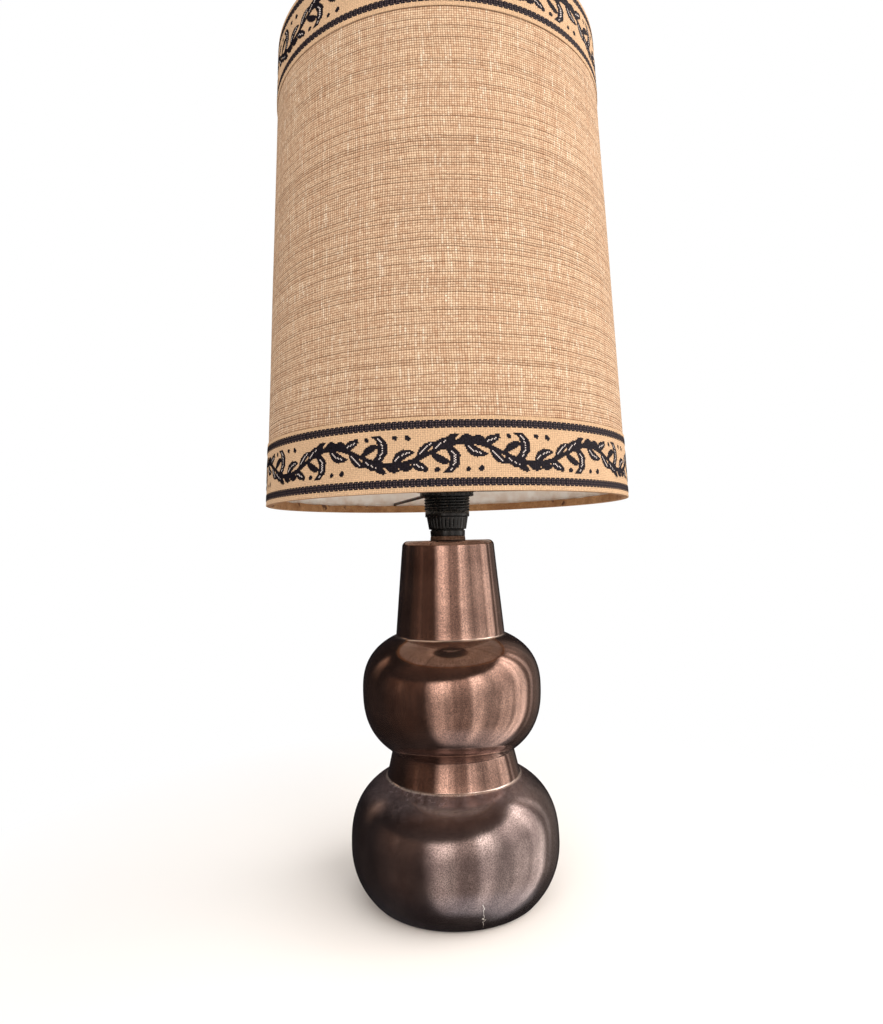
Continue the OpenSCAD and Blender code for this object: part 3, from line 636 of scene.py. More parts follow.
def body_side(size, levels, inset, start, steps):
    """The body's side from a start level to the neck's crease, set in from the surface."""
    lr, ur = size.lower_bulb_d / 2 - inset, size.upper_bulb_d / 2 - inset
    drop, rise = size.lower_drop - inset, size.lower_rise - inset
    end = math.asin(((levels["lower"] - start) / drop) ** (size.lower_drop_power / 2))
    out = [(r, levels["lower"] - h) for r, h in reversed(half_curve(lr, drop, size.lower_drop_power, end,
                                                                    steps))]
    for r_max, h_max, power, joint, centre, sign in (
            (lr, rise, size.lower_rise_power, size.waist_bottom_d, levels["lower"], 1),
            (ur, size.upper_drop - inset, size.upper_drop_power, size.waist_top_d, levels["upper"], -1),
            (ur, size.upper_rise - inset, size.upper_rise_power, size.neck_bottom_d, levels["upper"], 1)):
        end = math.acos(((joint / 2 - inset) / r_max) ** (power / 2))
        curve = [(r, centre + sign * h) for r, h in half_curve(r_max, h_max, power, end, steps)]
        out += curve[1:] if sign > 0 else list(reversed(curve))
    return out


def subdivided(profile, step):
    """Adds points so that no straight stretch of the profile is longer than step."""
    out = [profile[0]]
    for (r0, z0), (r1, z1) in zip(profile, profile[1:]):
        count = max(1, int(math.hypot(r1 - r0, z1 - z0) / step))
        out += [(r0 + (r1 - r0) * i / count, z0 + (z1 - z0) * i / count) for i in range(1, count + 1)]
    return out


class LAMP_OT_ceramic_body(bpy.types.Operator):
    """Glazed ceramic body: two bulbs, a waist and a tapered neck, cast hollow"""
    bl_idname = "lamp.ceramic_body"
    bl_label = "Ceramic body"

    def execute(self, context):
        size = context.scene.lamp_base
        levels = base_levels(size)
        top, edge = levels["top"], size.neck_edge_r
        plate, cover = low("inner_washer")[2] + thickness("inner_washer"), high("base_cover")[2]
        opening = diameter("base_cover") / 2 - 2.9 * MM
        hole = diameter("neck_nipple") / 2 + 0.25 * MM
        lip = levels["foot"] + 8 * MM
        outside = body_side(size, levels, 0.0, levels["foot"], 22)
        shoulder = arc((size.neck_top_d / 2 - edge, top - edge), edge, 0, 90, 8)
        side = subdivided(outside + shoulder + [(hole, top)], 6 * MM)
        inside = body_side(size, levels, size.wall, lip, 8) + [(size.neck_top_d / 2 - size.wall, plate)]
        foot_round = [(opening, levels["foot"] + cover - levels["foot"]),
                      (diameter("base_cover") / 2 + 0.1 * MM, cover),
                      (diameter("base_cover") / 2 + 0.1 * MM, levels["foot"])]
        profile = side + [(hole, plate)] + list(reversed(inside)) + [(opening, lip)] + foot_round
        bm = spun(profile, 160)
        creases = [size_level(levels["waist_low"], size.waist_bottom_d),
                   size_level(levels["waist_high"], size.waist_top_d),
                   size_level(levels["neck_low"], size.neck_bottom_d),
                   size_level(levels["foot"], size.foot_d)]
        rings = [e for e in bm.edges if any(on_ring(e, r, z) for r, z in creases)]
        bmesh.ops.bevel(bm, geom=rings, offset=size.crease_r, offset_type="OFFSET", segments=3,
                        profile=0.5, affect="EDGES", material=-1)
        stray = size.throwing

        def hand_made(angle, r, z):
            if z < levels["foot"] + 1 * MM or r < 0.03:
                return r
            here = Vector((math.cos(angle) * 1.6, math.sin(angle) * 1.6, z / 0.045))
            rings_wave = 0.12 * math.sin(z / 0.0036) * noise.noise(Vector((angle, z / 0.03, 4.0)))
            return r + stray * (noise.noise(here) + rings_wave)

        move_verts(bm, hand_made)
        bore_inlet(bm)
        finish_piece(bm, "glazed_body", "root", [bronze_lustre_glaze(levels)],
                     ["ceramic_lower_bulb", "ceramic_upper_bulb", "ceramic_neck"], sharp=50)
        return {"FINISHED"}


def thickness(node_name):
    return high(node_name)[2] - low(node_name)[2]


def size_level(z, across):
    return across / 2, z


def on_ring(edge, r, z):
    return all(abs(v.co.z - z) < 0.05 * MM and abs(math.hypot(v.co.x,
                                                              v.co.y) - r) < 0.1 * MM for v in edge.verts)


def inlet_axis():
    """Place and direction of the cord inlet, from the record's mount."""
    mount = next(m for m in frame["record"]["mounts"] if m["name"] == "cord_inlet")
    return Vector(mount["pos_m"]), Vector(mount["axis"]), mount["dims"]["r_mm"] * MM


def bore_inlet(bm):
    """Opens the inlet hole: the faces that its circle covers are taken out of both skins."""
    place, axis, _ = inlet_axis()
    radius = 4.4 * MM
    inside = []
    for face in bm.faces:
        to = face.calc_center_median() - place
        if abs(to.dot(axis)) < 6 * MM and (to - axis * to.dot(axis)).length < radius:
            inside.append(face)
    bmesh.ops.delete(bm, geom=inside, context="FACES")
    rims = [e for e in bm.edges if e.is_boundary]
    if rims:
        bmesh.ops.bridge_loops(bm, edges=rims)


class LAMP_OT_foot(bpy.types.Operator):
    """Felt pad under the foot and the rubber grommet in the cord inlet"""
    bl_idname = "lamp.foot"
    bl_label = "Felt and grommet"

    def execute(self, context):
        r, t = diameter("foot_felt") / 2, high("foot_felt")[2]
        bm = spun(subdivided(rounded([(0.0, 0.0), (r, 0.0), (r, t), (0.0, t)], 0.5 * MM), 5 * MM), 96)
        for v in bm.verts:
            if math.hypot(v.co.x, v.co.y) > r - 1 * MM:
                v.co += 0.12 * MM * noise.noise_vector(v.co / (3 * MM)) * Vector((1, 1, 0))
        pad = finish_piece(bm, "felt_pad", "root",
                           [matt("wool_felt", "#1F1B18", "#3B342E", 0.95, 1.2, 0.3)], ["foot_felt"])
        place, axis, bore = inlet_axis()
        lip_r, sleeve_r, half, lip_t = 7.5 * MM, 4.95 * MM, 2.5 * MM, 2.2 * MM
        ring = rounded([(bore, -half - lip_t), (lip_r - 0.8 * MM, -half - lip_t), (lip_r, -half - 0.6 * MM),
                        (sleeve_r, -half), (sleeve_r, half), (lip_r, half + 0.2 * MM),
                        (lip_r - 0.9 * MM, half + lip_t), (bore, half + lip_t)], 0.6 * MM, 4)
        bm = spun(ring, 64)
        turn = axis.to_track_quat("Z", "Y").to_matrix().to_4x4()
        bmesh.ops.transform(bm, matrix=Matrix.Translation(place) @ turn, verts=bm.verts)
        for v in bm.verts:
            seat_on_wall(v, place, axis, context.scene.lamp_base)
        finish_piece(bm, "grommet", "root",
                     [matt("moulded_rubber", "#121212", "#242322", 0.7, 2.5, 0.06)], ["cord_grommet"],
                     sharp=60)
        dress("base_cover", matt("fibreboard", "#6A4A2E", "#8B6540", 0.9, 2.0, 0.1))
        return {"FINISHED"}


def seat_on_wall(v, place, axis, size):
    """Bends the grommet's lips to the wall's roundness, so that they lie on it."""
    to = v.co - place
    sag = (to.x ** 2) / size.lower_bulb_d
    v.co -= axis * sag


class LAMP_OT_neck_fittings(bpy.types.Operator):
    """Bronze washer on the neck, and the nipple and nuts inside it"""
    bl_idname = "lamp.neck_fittings"
    bl_label = "Neck fittings"

    def execute(self, context):
        z0, z1 = low("neck_washer")[2], high("neck_washer")[2]
        r, hole = diameter("neck_washer") / 2, diameter("neck_nipple") / 2 + 0.25 * MM
        groove = 0.35 * MM
        mid = (z0 + z1) / 2
        ring = rounded([(hole, z0), (r, z0), (r, mid - groove), (r - groove, mid), (r, mid + groove),
                        (r - 0.4 * MM, z1), (hole, z1)], 0.4 * MM)
        finish_piece(spun(ring, 96), "bronze_washer", "root",
                     [metal("dull_bronze", "#5E4A3E", "#8E7464", 0.42, 3.0, 0.15, 0.06)], ["neck_washer"],
                     sharp=40)
        brass = metal("satin_brass", "#8C6A34", "#B8935A", 0.3)
        zinc = metal("zinc_plate", "#8E9092", "#B4B5B4", 0.35)
        for name in ("neck_nipple", "inner_nut", "screw_socket", "centre_contact", "side_contact",
                     "terminal_screws"):
            dress(name, brass)
        for name in ("inner_washer", "lock_washer", "cap_lock_screw"):
            dress(name, zinc)
        dress("contact_insert", matt("steatite", "#D8D0BF", "#EBE5D8", 0.6, 4.0, 0.05))
        return {"FINISHED"}


def dress(name, material):
    """Gives a carried-over CAD node its material."""
    mesh = frame["nodes"][name].data
    mesh.materials.clear()
    mesh.materials.append(material)


# --------------------------------------------------------------------------- the lampholder


def ridged(turns_up, pitch):
    """Height of a rounded thread, 0 in the root and 1 on the crest, for a place along the helix."""
    place = (turns_up / pitch) % 1.0
    return max(0.0, min(1.0, 1.25 * math.sin(math.pi * place) ** 1.0 - 0.12))


class LAMP_OT_lampholder(bpy.types.Operator):
    """Black lampholder: ribbed cap and threaded shell"""
    bl_idname = "lamp.lampholder"
    bl_label = "Lampholder"

    def execute(self, context):
        size = context.scene.lamp_holder
        phenolic = black_phenolic()
        self.cap(size, phenolic)
        self.shell(size, phenolic)
        return {"FINISHED"}

    def cap(self, size, phenolic):
        z0, z1 = low("holder_cap")[2], high("holder_cap")[2]
        collar = z0 + size.collar_h
        hole, mouth, wide = 5.05 * MM, 15.25 * MM, diameter("holder_cap") / 2
        profile = [(hole, z0), (15 * MM, z0), (15.2 * MM, collar - 1.1 * MM), (14.3 * MM, collar - 0.7 * MM),
                   (14.3 * MM, collar - 0.1 * MM), (16.3 * MM, collar + 0.2 * MM), (wide, z1 - 0.4 * MM),
                   (mouth, z1), (mouth, z1 - 7 * MM), (13.3 * MM, z1 - 7 * MM), (13.3 * MM, collar),
                   (hole, collar)]
        bm = spun(subdivided(rounded(profile, 0.35 * MM), 1.2 * MM), size.rib_count * 10)
        rib_low, rib_high = collar + 1.0 * MM, z1 - 0.9 * MM

        def ribs(angle, r, z):
            if r < 15.9 * MM or not rib_low < z < rib_high:
                return r
            fade = min(1.0, (z - rib_low) / (0.8 * MM), (rib_high - z) / (0.8 * MM))
            groove = max(0.0, math.cos(angle * size.rib_count)) ** 3
            return r - size.rib_depth * groove * fade

        move_verts(bm, ribs)
        finish_piece(bm, "ribbed_cap", "root", [phenolic], ["holder_cap"], sharp=45)

    def shell(self, size, phenolic):
        z0, z1 = low("holder_shell")[2], high("holder_shell")[2]
        step = high("holder_cap")[2]
        thread = step + size.band_h
        band, root = size.band_d / 2, size.thread_d / 2 - size.thread_depth
        ledge, bore, wires = low("contact_insert")[2], size.bore_d / 2, 13.3 * MM
        rows = int((z1 - thread) / (size.thread_pitch / 8))
        side = [(root, thread + (z1 - thread - 0.3 * MM) * i / rows) for i in range(rows + 1)]
        profile = [(wires, z0), (15.2 * MM, z0), (15.2 * MM, step), (band - 0.3 * MM, step),
                   (band, step + 0.4 * MM),
                   (band, thread - 0.4 * MM)] + side + [(root - 0.4 * MM, z1), (bore + 0.4 * MM, z1),
                                                        (bore, z1 - 0.4 * MM),
                   (bore, ledge), (wires, ledge)]
        bm = spun(profile, 128)

        def helix(angle, r, z):
            if r < root - 0.1 * MM or z < thread - 0.05 * MM:
                return r
            fade = min(1.0, max(0.0, (z - thread) / (1.5 * MM)), max(0.0, (z1 - 1.2 * MM - z) / (1.0 * MM)))
            along = z - thread - size.thread_pitch * angle / (2 * math.pi)
            return r + size.thread_depth * fade * ridged(along, size.thread_pitch)

        move_verts(bm, helix)
        finish_piece(bm, "threaded_shell", "root", [phenolic], ["holder_shell"], sharp=60)


class LAMP_OT_screw_rings(bpy.types.Operator):
    """The two notched rings that clamp the shade's hub"""
    bl_idname = "lamp.screw_rings"
    bl_label = "Screw rings"

    def execute(self, context):
        size = context.scene.lamp_holder
        phenolic = bpy.data.materials["black_phenolic"]
        for name, body in (("lower_shade_ring", "lower_ring"), ("upper_shade_ring", "upper_ring")):
            z0, z1, r = low(name)[2], high(name)[2], diameter(name) / 2
            bore = size.thread_d / 2 + 0.25 * MM
            profile = rounded([(bore, z0), (r, z0), (r, z1), (bore, z1)], 0.5 * MM)
            bm = spun(subdivided(profile, 1.5 * MM), size.notch_count * 10)

            def notches(angle, radius, z, outer=r):
                if radius < outer - 1.2 * MM:
                    return radius
                cut = max(0.0, math.cos(angle * size.notch_count)) ** 4
                return radius - size.notch_depth * cut

            move_verts(bm, notches)
            finish_piece(bm, "notched_" + body, body, [phenolic], [name], sharp=45)
        return {"FINISHED"}


# --------------------------------------------------------------------------- the shade


def shade_lines(shade):
    """The shade's measures from the frame: levels, and the radius of the linen at a height."""
    z0, z1 = low("bottom_trim")[2], high("top_trim")[2]
    trim = (diameter("bottom_trim") - diameter_at_bottom_of_linen(z0, z1)) / 2
    r0 = diameter("bottom_trim") / 2 - trim
    slope = linen_slope()

    def linen(z):
        return r0 + slope * (z - z0)

    return z0, z1, linen


def linen_slope():
    """How the shade's radius changes with height: both trims are widest at their lower edge."""
    return (diameter("top_trim") - diameter("bottom_trim")) / 2 / (low("top_trim")[2] - low("bottom_trim")[2])


def diameter_at_bottom_of_linen(z0, z1):
    fold = low("shade_fabric")[2] - z0
    return diameter("shade_fabric") - 2 * linen_slope() * fold


def no_bump(rows, columns):
    return np.zeros((rows + 1, columns + 1))


class LAMP_OT_shade_cover(bpy.types.Operator):
    """Linen cover with its lapped seam at the back, and the white liner behind it"""
    bl_idname = "lamp.shade_cover"
    bl_label = "Linen cover and liner"

    def execute(self, context):
        size = context.scene.lamp_shade
        z0, z1, linen = shade_lines(size)
        fold = size.hem_t
        columns, rows = 360, 72
        s = np.linspace(-0.5, 0.5, columns + 1)
        t = np.linspace(0.0, 1.0, rows + 1)
        waves = np.array([[noise.noise(Vector((math.cos(a * 2 * math.pi) * 2.2,
                                               math.sin(a * 2 * math.pi) * 2.2, b * 5)))
                           for a in s] for b in t])
        bump = 0.25 * MM * waves - 0.2 * MM
        # The lap at the back: one end lies over the other
        bump[:, s > 0.5 - 0.012] += 0.35 * MM
        bump[:, -1] = bump[:, 0] = bump[:, 0]
        bm = cone_band(columns, rows, z0 + fold, z1 - fold, linen, lambda z: linen(z) - size.fabric_t, bump)
        cover = finish_piece(bm, "linen_cover", "shade",
                             [slub_linen(size.thread_w, size.linen)], ["shade_fabric"], sharp=60)
        flat, area = cone_cut(z0 + fold, z1 - fold, linen, 12 * MM)
        back = lambda z: linen(z) - size.fabric_t
        bm = cone_band(192, 24, z0 + fold, z1 - fold, back, lambda z: back(z) - size.liner_t,
                       no_bump(24, 192))
        finish_piece(bm, "white_liner", "shade", [white_liner(z0, z1)], ["shade_liner"], sharp=60)
        return {"FINISHED"}


def cone_cut(z0, z1, radius, lap):
    """The flat cut of a cone's wall: its (width, length) and area, with a lap at its ends."""
    low_r, high_r = radius(z0), radius(z1)
    slant = math.hypot(z1 - z0, low_r - high_r)
    reach = low_r * slant / (low_r - high_r)
    half = math.pi * low_r / reach
    deep = reach - (reach - slant) * math.cos(half)
    return (2 * reach * math.sin(half) + lap, deep), (math.pi * (low_r + high_r) + lap) * slant


# The scroll of the trim is the classical leaf garland: a waved stem, a long curled leaf in the
# hollow of each wave, and shorter leaves and berries set off on both sides. Lengths are in
# millimetres along the ribbon and up from its lower edge, and a stroke is a list of
# (along, up, half width). The second half of the repeat is the first one upside down.
VINE_MIDDLE, VINE_SWING, VINE_ROOM = 25.4, 7.5, 13.4
TRIM_LAP = 9 * MM
GROUND, YARN, PALE, GREY = range(4)


def leaf(x, y, degrees, size_mm, bend, fat):
    """A leaf that leaves (x, y) at an angle and bends, thin at its root and its tip."""
    points = []
    for step, half_width in enumerate((0.9, 1.7, 2.3, 2.2, 1.5, 0.4)):
        points.append((x, y, half_width * fat))
        angle = math.radians(degrees + bend * step / 5)
        x, y = x + size_mm / 5 * math.cos(angle), y + size_mm / 5 * math.sin(angle)
    return points


def vine(half):
    """The strokes and the pale veins of one arch of the vine, half a repeat long."""
    def stem(u):
        return half * u, VINE_MIDDLE + VINE_SWING * math.sin(math.pi * u)

    leaves = [leaf(*stem(0.2), -25, 25, -165, 1.55), leaf(*stem(0.5), -62, 18, 80, 1.45)]
    for u, side, degrees, fat in ((0.06, 1, 52, 1.2), (0.22, 1, 60, 1.0), (0.4, 1, 40, 0.9),
                                  (0.57, 1, 28, 0.95),
                                  (0.76, 1, 44, 1.2), (0.84, -1, 62, 1.1), (0.03, -1, 48, 1.0)):
        x, y = stem(u)
        room = VINE_ROOM - side * (y - VINE_MIDDLE)
        leaves.append(leaf(x, y, side * degrees, 6.5 + 0.62 * room, -side * 50, 1.12 * fat))
    berries = [[(half * u, VINE_MIDDLE + up, r), (half * u + 0.6, VINE_MIDDLE + up + 0.4, r)]
               for u, up, r in ((0.93, 10.6, 1.7), (0.1, -11.2, 1.6), (0.52, -11.4, 1.5), (0.7, -10.8, 1.7))]
    strokes = [[stem(i / 16) + (1.4 + 0.5 * math.sin(math.pi * i / 16),) for i in range(17)]]
    return strokes + leaves + berries, [[point[:2] for point in one[1:5]] for one in leaves[:3] + leaves[6:8]]


def distance_to(points, a, b):
    """Distance of each point from the segment a-b, and how far along it the nearest place is."""
    a, b = np.array(a[:2]), np.array(b[:2])
    run = b - a
    along = np.clip(((points - a) @ run) / (run @ run), 0, 1)
    return np.linalg.norm(points - a - along[..., None] * run, axis=-1), along


def scroll_repeat(cell_mm, repeat_mm, height_mm):
    """One repeat of the scroll as woven cells: an array of ground, yarn and pale cells."""
    columns, rows = round(repeat_mm / cell_mm), round(height_mm / cell_mm)
    along = (np.arange(columns) + 0.5) * repeat_mm / columns
    up = (np.arange(rows) + 0.5) * height_mm / rows
    cells = np.full((rows, columns), GROUND)
    half = repeat_mm / 2
    every_other = np.add.outer(np.arange(rows), np.arange(columns)) % 2 == 0
    grid = np.stack(np.meshgrid(along, up), axis=-1)
    strokes, veins = vine(half)
    for turned in (False, True):
        for wrap in (-repeat_mm, 0.0, repeat_mm):
            local = grid - np.array([wrap + (half if turned else 0.0), 0.0])
            if turned:
                local = local * np.array([1, -1]) + np.array([0, 2 * VINE_MIDDLE])
            for stroke in strokes:
                for a, b in zip(stroke, stroke[1:]):
                    far, t = distance_to(local, a, b)
                    cells[far < a[2] + (b[2] - a[2]) * t] = YARN
            for vein in veins:
                for a, b in zip(vein, vein[1:]):
                    far, t = distance_to(local, a, b)
                    cells[(far < 0.6 * cell_mm) & (cells == YARN) & every_other] = PALE
    return cells


def chain_border(cells, first_row):
    """A chain of looped yarn, seven rows high and five cells to the link: its edges dip between
    links, and two rows of eyes show in each link."""
    for column in range(cells.shape[1]):
        place = column % 5
        for row in range(7):
            if place == 4 and row in (0, 6):
                continue
            cells[first_row + row, column] = GREY if place in (1, 3) and row % 2 else YARN


def ribbon_cells(cell_mm, repeat_mm, height_mm):
    cells = scroll_repeat(cell_mm, repeat_mm, height_mm)
    chain_border(cells, 4)
    chain_border(cells, cells.shape[0] - 10)
    return cells


class LAMP_OT_trims(bpy.types.Operator):
    """The woven galloons: gold ground, a raised black leaf garland and chain borders"""
    bl_idname = "lamp.trims"
    bl_label = "Woven trims"

    def execute(self, context):
        size = context.scene.lamp_shade
        linen = shade_lines(size)[2]
        yarns = [woven_yarn("gold_ground_yarn", size.ground, 1.6),
                 woven_yarn("black_raised_yarn", size.yarn, 1.6, 0.6, 7.0),
                 woven_yarn("pale_vein_yarn", linear("#DCD0CA"), 1.6),
                 woven_yarn("grey_chain_yarn", linear("#574A4A"), 1.6)]
        width = thickness("bottom_trim")
        for node_name, name in (("bottom_trim", "bottom_galloon"), ("top_trim", "top_galloon")):
            lower, upper = low(node_name)[2], high(node_name)[2]
            self.galloon(size, name, node_name, lower, upper, width, linen, yarns)
        return {"FINISHED"}

    def galloon(self, size, name, node_name, lower, upper, width, linen, yarns):
        cell = size.cell
        around = 2 * math.pi * linen((lower + upper) / 2)
        columns, rows = round(around / cell), round(width / cell)
        repeat = ribbon_cells(cell / MM, size.repeat / MM, width / MM)
        # The pattern starts a tenth of a repeat left of the front's middle and meets itself at the back
        start = 10.45 * MM
        s = (np.arange(columns) + 0.5) * around / columns - around / 2
        pick = np.floor(((s + start) % size.repeat) / size.repeat * repeat.shape[1]).astype(int)
        cells = repeat[:rows, pick]
        raised = np.where(cells == GROUND, 0.0, np.where(cells == YARN, 1.0, 0.55))
        padded = np.pad(np.pad(raised, ((1, 1), (0, 0)), mode="edge"), ((0, 0), (1, 1)), mode="wrap")
        corner = (padded[1:, 1:] + padded[:-1, 1:] + padded[1:, :-1] + padded[:-1, :-1]) / 4
        height = 0.45 * MM + size.yarn_t * corner
        # Rolled selvedges, and the folded end lapped over at the back
        height[:2] += 0.12 * MM
        height[-2:] += 0.12 * MM
        lap = round(TRIM_LAP / cell)
        height[:, -lap:] += 0.4 * MM
        height[:, 0] = height[:, -1] = height[:, 1]
        bm = cone_band(columns, rows, lower, upper, linen, linen, height)
        uv = bm.loops.layers.uv["UVMap"]
        for face in bm.faces:
            centre = face.calc_center_median()
            if math.hypot(centre.x, centre.y) < linen(centre.z) + 0.3 * MM:
                continue
            u = sum(loop[uv].uv.x for loop in face.loops) / 4 / around + 0.5
            v = sum(loop[uv].uv.y for loop in face.loops) / 4 / width
            face.material_index = int(cells[min(rows - 1, int(v * rows)), min(columns - 1, int(u * columns))])
        ribbon = finish_piece(bm, name, "shade", yarns, [node_name])


class LAMP_OT_hems(bpy.types.Operator):
    """Tape folded under each edge of the shade and up over the frame wire"""
    bl_idname = "lamp.hems"
    bl_label = "Hem tapes"

    def execute(self, context):
        size = context.scene.lamp_shade
        z0, z1, linen = shade_lines(size)
        tape = hem_tape()
        wrap = size.fabric_t + size.liner_t + size.wire_d + 0.1 * MM
        for node_name, name, edge, up in (("bottom_hem", "bottom_tape", z0, 1),
                                          ("top_hem", "top_tape", z1, -1)):
            end = high(node_name)[2] if up > 0 else low(node_name)[2]
            t, inner = size.hem_t, lambda z: linen(z) - wrap
            profile = [(inner(edge) - t, edge + up * 0.3 * MM), (inner(edge), edge), (linen(edge), edge),
                       (linen(edge), edge + up * t), (inner(edge), edge + up * t),
                       (inner(end), end), (inner(end) - t, end)]
            profile = subdivided(profile + profile[:1], 1.6 * MM)[:-1]
            bm = spun(profile, 240)

            def ragged(angle, r, z, edge=edge, up=up, inner=inner):
                depth = (z - edge) * up
                if r > inner(z) + 0.2 * MM or depth < 0.8 * MM:
                    return r
                here = Vector((math.cos(angle) * 24, math.sin(angle) * 24, z / (4 * MM)))
                return r - 0.35 * MM * max(0.0, noise.noise(here))

            move_verts(bm, ragged)
            for v in bm.verts:
                depth = (v.co.z - edge) * up
                if depth > 4 * MM:
                    angle = math.atan2(v.co.y, v.co.x)
                    v.co.z += up * 0.7 * MM * noise.noise(Vector((math.cos(angle) * 11,
                                                                  math.sin(angle) * 11, 2.0)))
            folded = finish_piece(bm, name, "shade", [tape], [node_name], sharp=50)
            2 * math.pi * linen(edge)
            wrap + thickness(node_name)
        return {"FINISHED"}


class LAMP_OT_frame(bpy.types.Operator):
    """Wire rings, the three arms and the hub plate"""
    bl_idname = "lamp.frame"
    bl_label = "Wire frame"

    def execute(self, context):
        size = context.scene.lamp_shade
        wire = lacquered_wire()
        for node_name, name in (("bottom_frame_ring", "bottom_wire"), ("top_frame_ring", "top_wire")):
            z = (low(node_name)[2] + high(node_name)[2]) / 2
            r = (diameter(node_name) - size.wire_d) / 2
            ring = arc((r, z), size.wire_d / 2, 0, 360, 12)[:-1]
            finish_piece(spun(ring, 160), name, "shade", [wire], [node_name])
        z0, z1, r = low("spider_hub")[2], high("spider_hub")[2], diameter("spider_hub") / 2
        bore = 20.25 * MM
        lip = 0.5 * MM
        plate = rounded([(bore, z0), (r, z0), (r, z1), (r - 3 * MM, z1), (r - 3.6 * MM, z1 - lip / 2),
                         (bore, z1 - lip / 2)], 0.3 * MM)
        finish_piece(spun(plate, 120), "hub_plate", "shade", [wire], ["spider_hub"], sharp=40)
        dress("spider_arms", wire)
        return {"FINISHED"}


class LAMP_OT_bulb(bpy.types.Operator):
    """Pear-shaped frosted bulb with its screw cap, insulator and contact"""
    bl_idname = "lamp.bulb"
    bl_label = "Light bulb"

    def execute(self, context):
        size = context.scene.lamp_bulb
        self.glass(size)
        self.cap(size)
        dress("bulb_stem", clear_glass())
        tip_z, tip_top, tip_r = low("bulb_contact")[2], high("bulb_contact")[2], diameter("bulb_contact") / 2
        nickel = bpy.data.materials["nickel_plate"]
        tip = [(0.0, tip_z)] + [(tip_r * math.sin(a * math.pi / 12),
                                 tip_top - 0.2 * MM - (tip_top - tip_z - 0.2 * MM)
                                 * math.cos(a * math.pi / 12)) for a in range(1, 7)] + [(tip_r, tip_top),
                                                                                        (0.0, tip_top)]
        finish_piece(spun(tip, 48), "solder_tip", "bulb", [nickel], ["bulb_contact"], sharp=50)
        z0, z1, r = low("bulb_insulator")[2], high("bulb_insulator")[2], diameter("bulb_insulator") / 2
        cone = rounded([(0.0, z0), (5.2 * MM, z0), (r, z1 - 0.4 * MM), (r, z1), (0.0, z1)], 0.6 * MM)
        finish_piece(spun(cone, 64), "vitrite", "bulb",
                     [matt("black_vitrite", "#0C0C0F", "#1D1D22", 0.15, 3.0, 0.05)], ["bulb_insulator"],
                     sharp=50)
        return {"FINISHED"}

    def glass(self, size):
        r = diameter("bulb_glass") / 2
        z0, z1 = low("bulb_glass")[2], high("bulb_glass")[2]
        cap_top = high("bulb_cap")[2]
        centre, throat_z = z1 - r, cap_top + 2 * MM
        throat, seal = diameter("bulb_cap") / 2 + 0.6 * MM, 11.5 * MM

        def skin(inset):
            steps = 24
            swell = [(throat - inset + (r - throat) * math.sin(math.pi / 2 * i / steps) ** 2,
                      throat_z + (centre - throat_z) * i / steps) for i in range(steps + 1)]
            crown = arc((0, centre), r - inset, 0, 90, 20)[1:-1] + [(0.0, centre + r - inset)]
            return [(seal - inset, z0), (seal - inset, cap_top)] + swell + crown

        profile = skin(0.0) + list(reversed(skin(size.glass_t)))
        finish_piece(spun(profile, 96), "frosted_bulb", "bulb", [frosted_glass()],
                     ["bulb_glass"], sharp=60)

    def cap(self, size):
        z0, z1 = low("bulb_cap")[2], high("bulb_cap")[2]
        root = diameter("bulb_cap") / 2 - size.thread_depth
        rows = int((z1 - z0) / (size.pitch / 10))
        side = [(root, z0 + (z1 - z0) * i / rows) for i in range(rows + 1)]
        profile = side + [(root - 0.4 * MM, z1), (root - 0.4 * MM, z0)]
        bm = spun(profile, 96)

        def helix(angle, r, z):
            if r < root - 0.1 * MM:
                return r
            fade = min(1.0, max(0.0, (z - z0) / (2 * MM)), max(0.0, (z1 - 3 * MM - z) / (2 * MM)))
            return r + size.thread_depth * fade * ridged(z - size.pitch * angle / (2 * math.pi), size.pitch)

        move_verts(bm, helix)
        nickel = metal("nickel_plate", "#9A978E", "#C6C3B8", 0.28)
        finish_piece(bm, "screw_cap", "bulb", [nickel], ["bulb_cap"], sharp=70)


# --------------------------------------------------------------------------- the stage


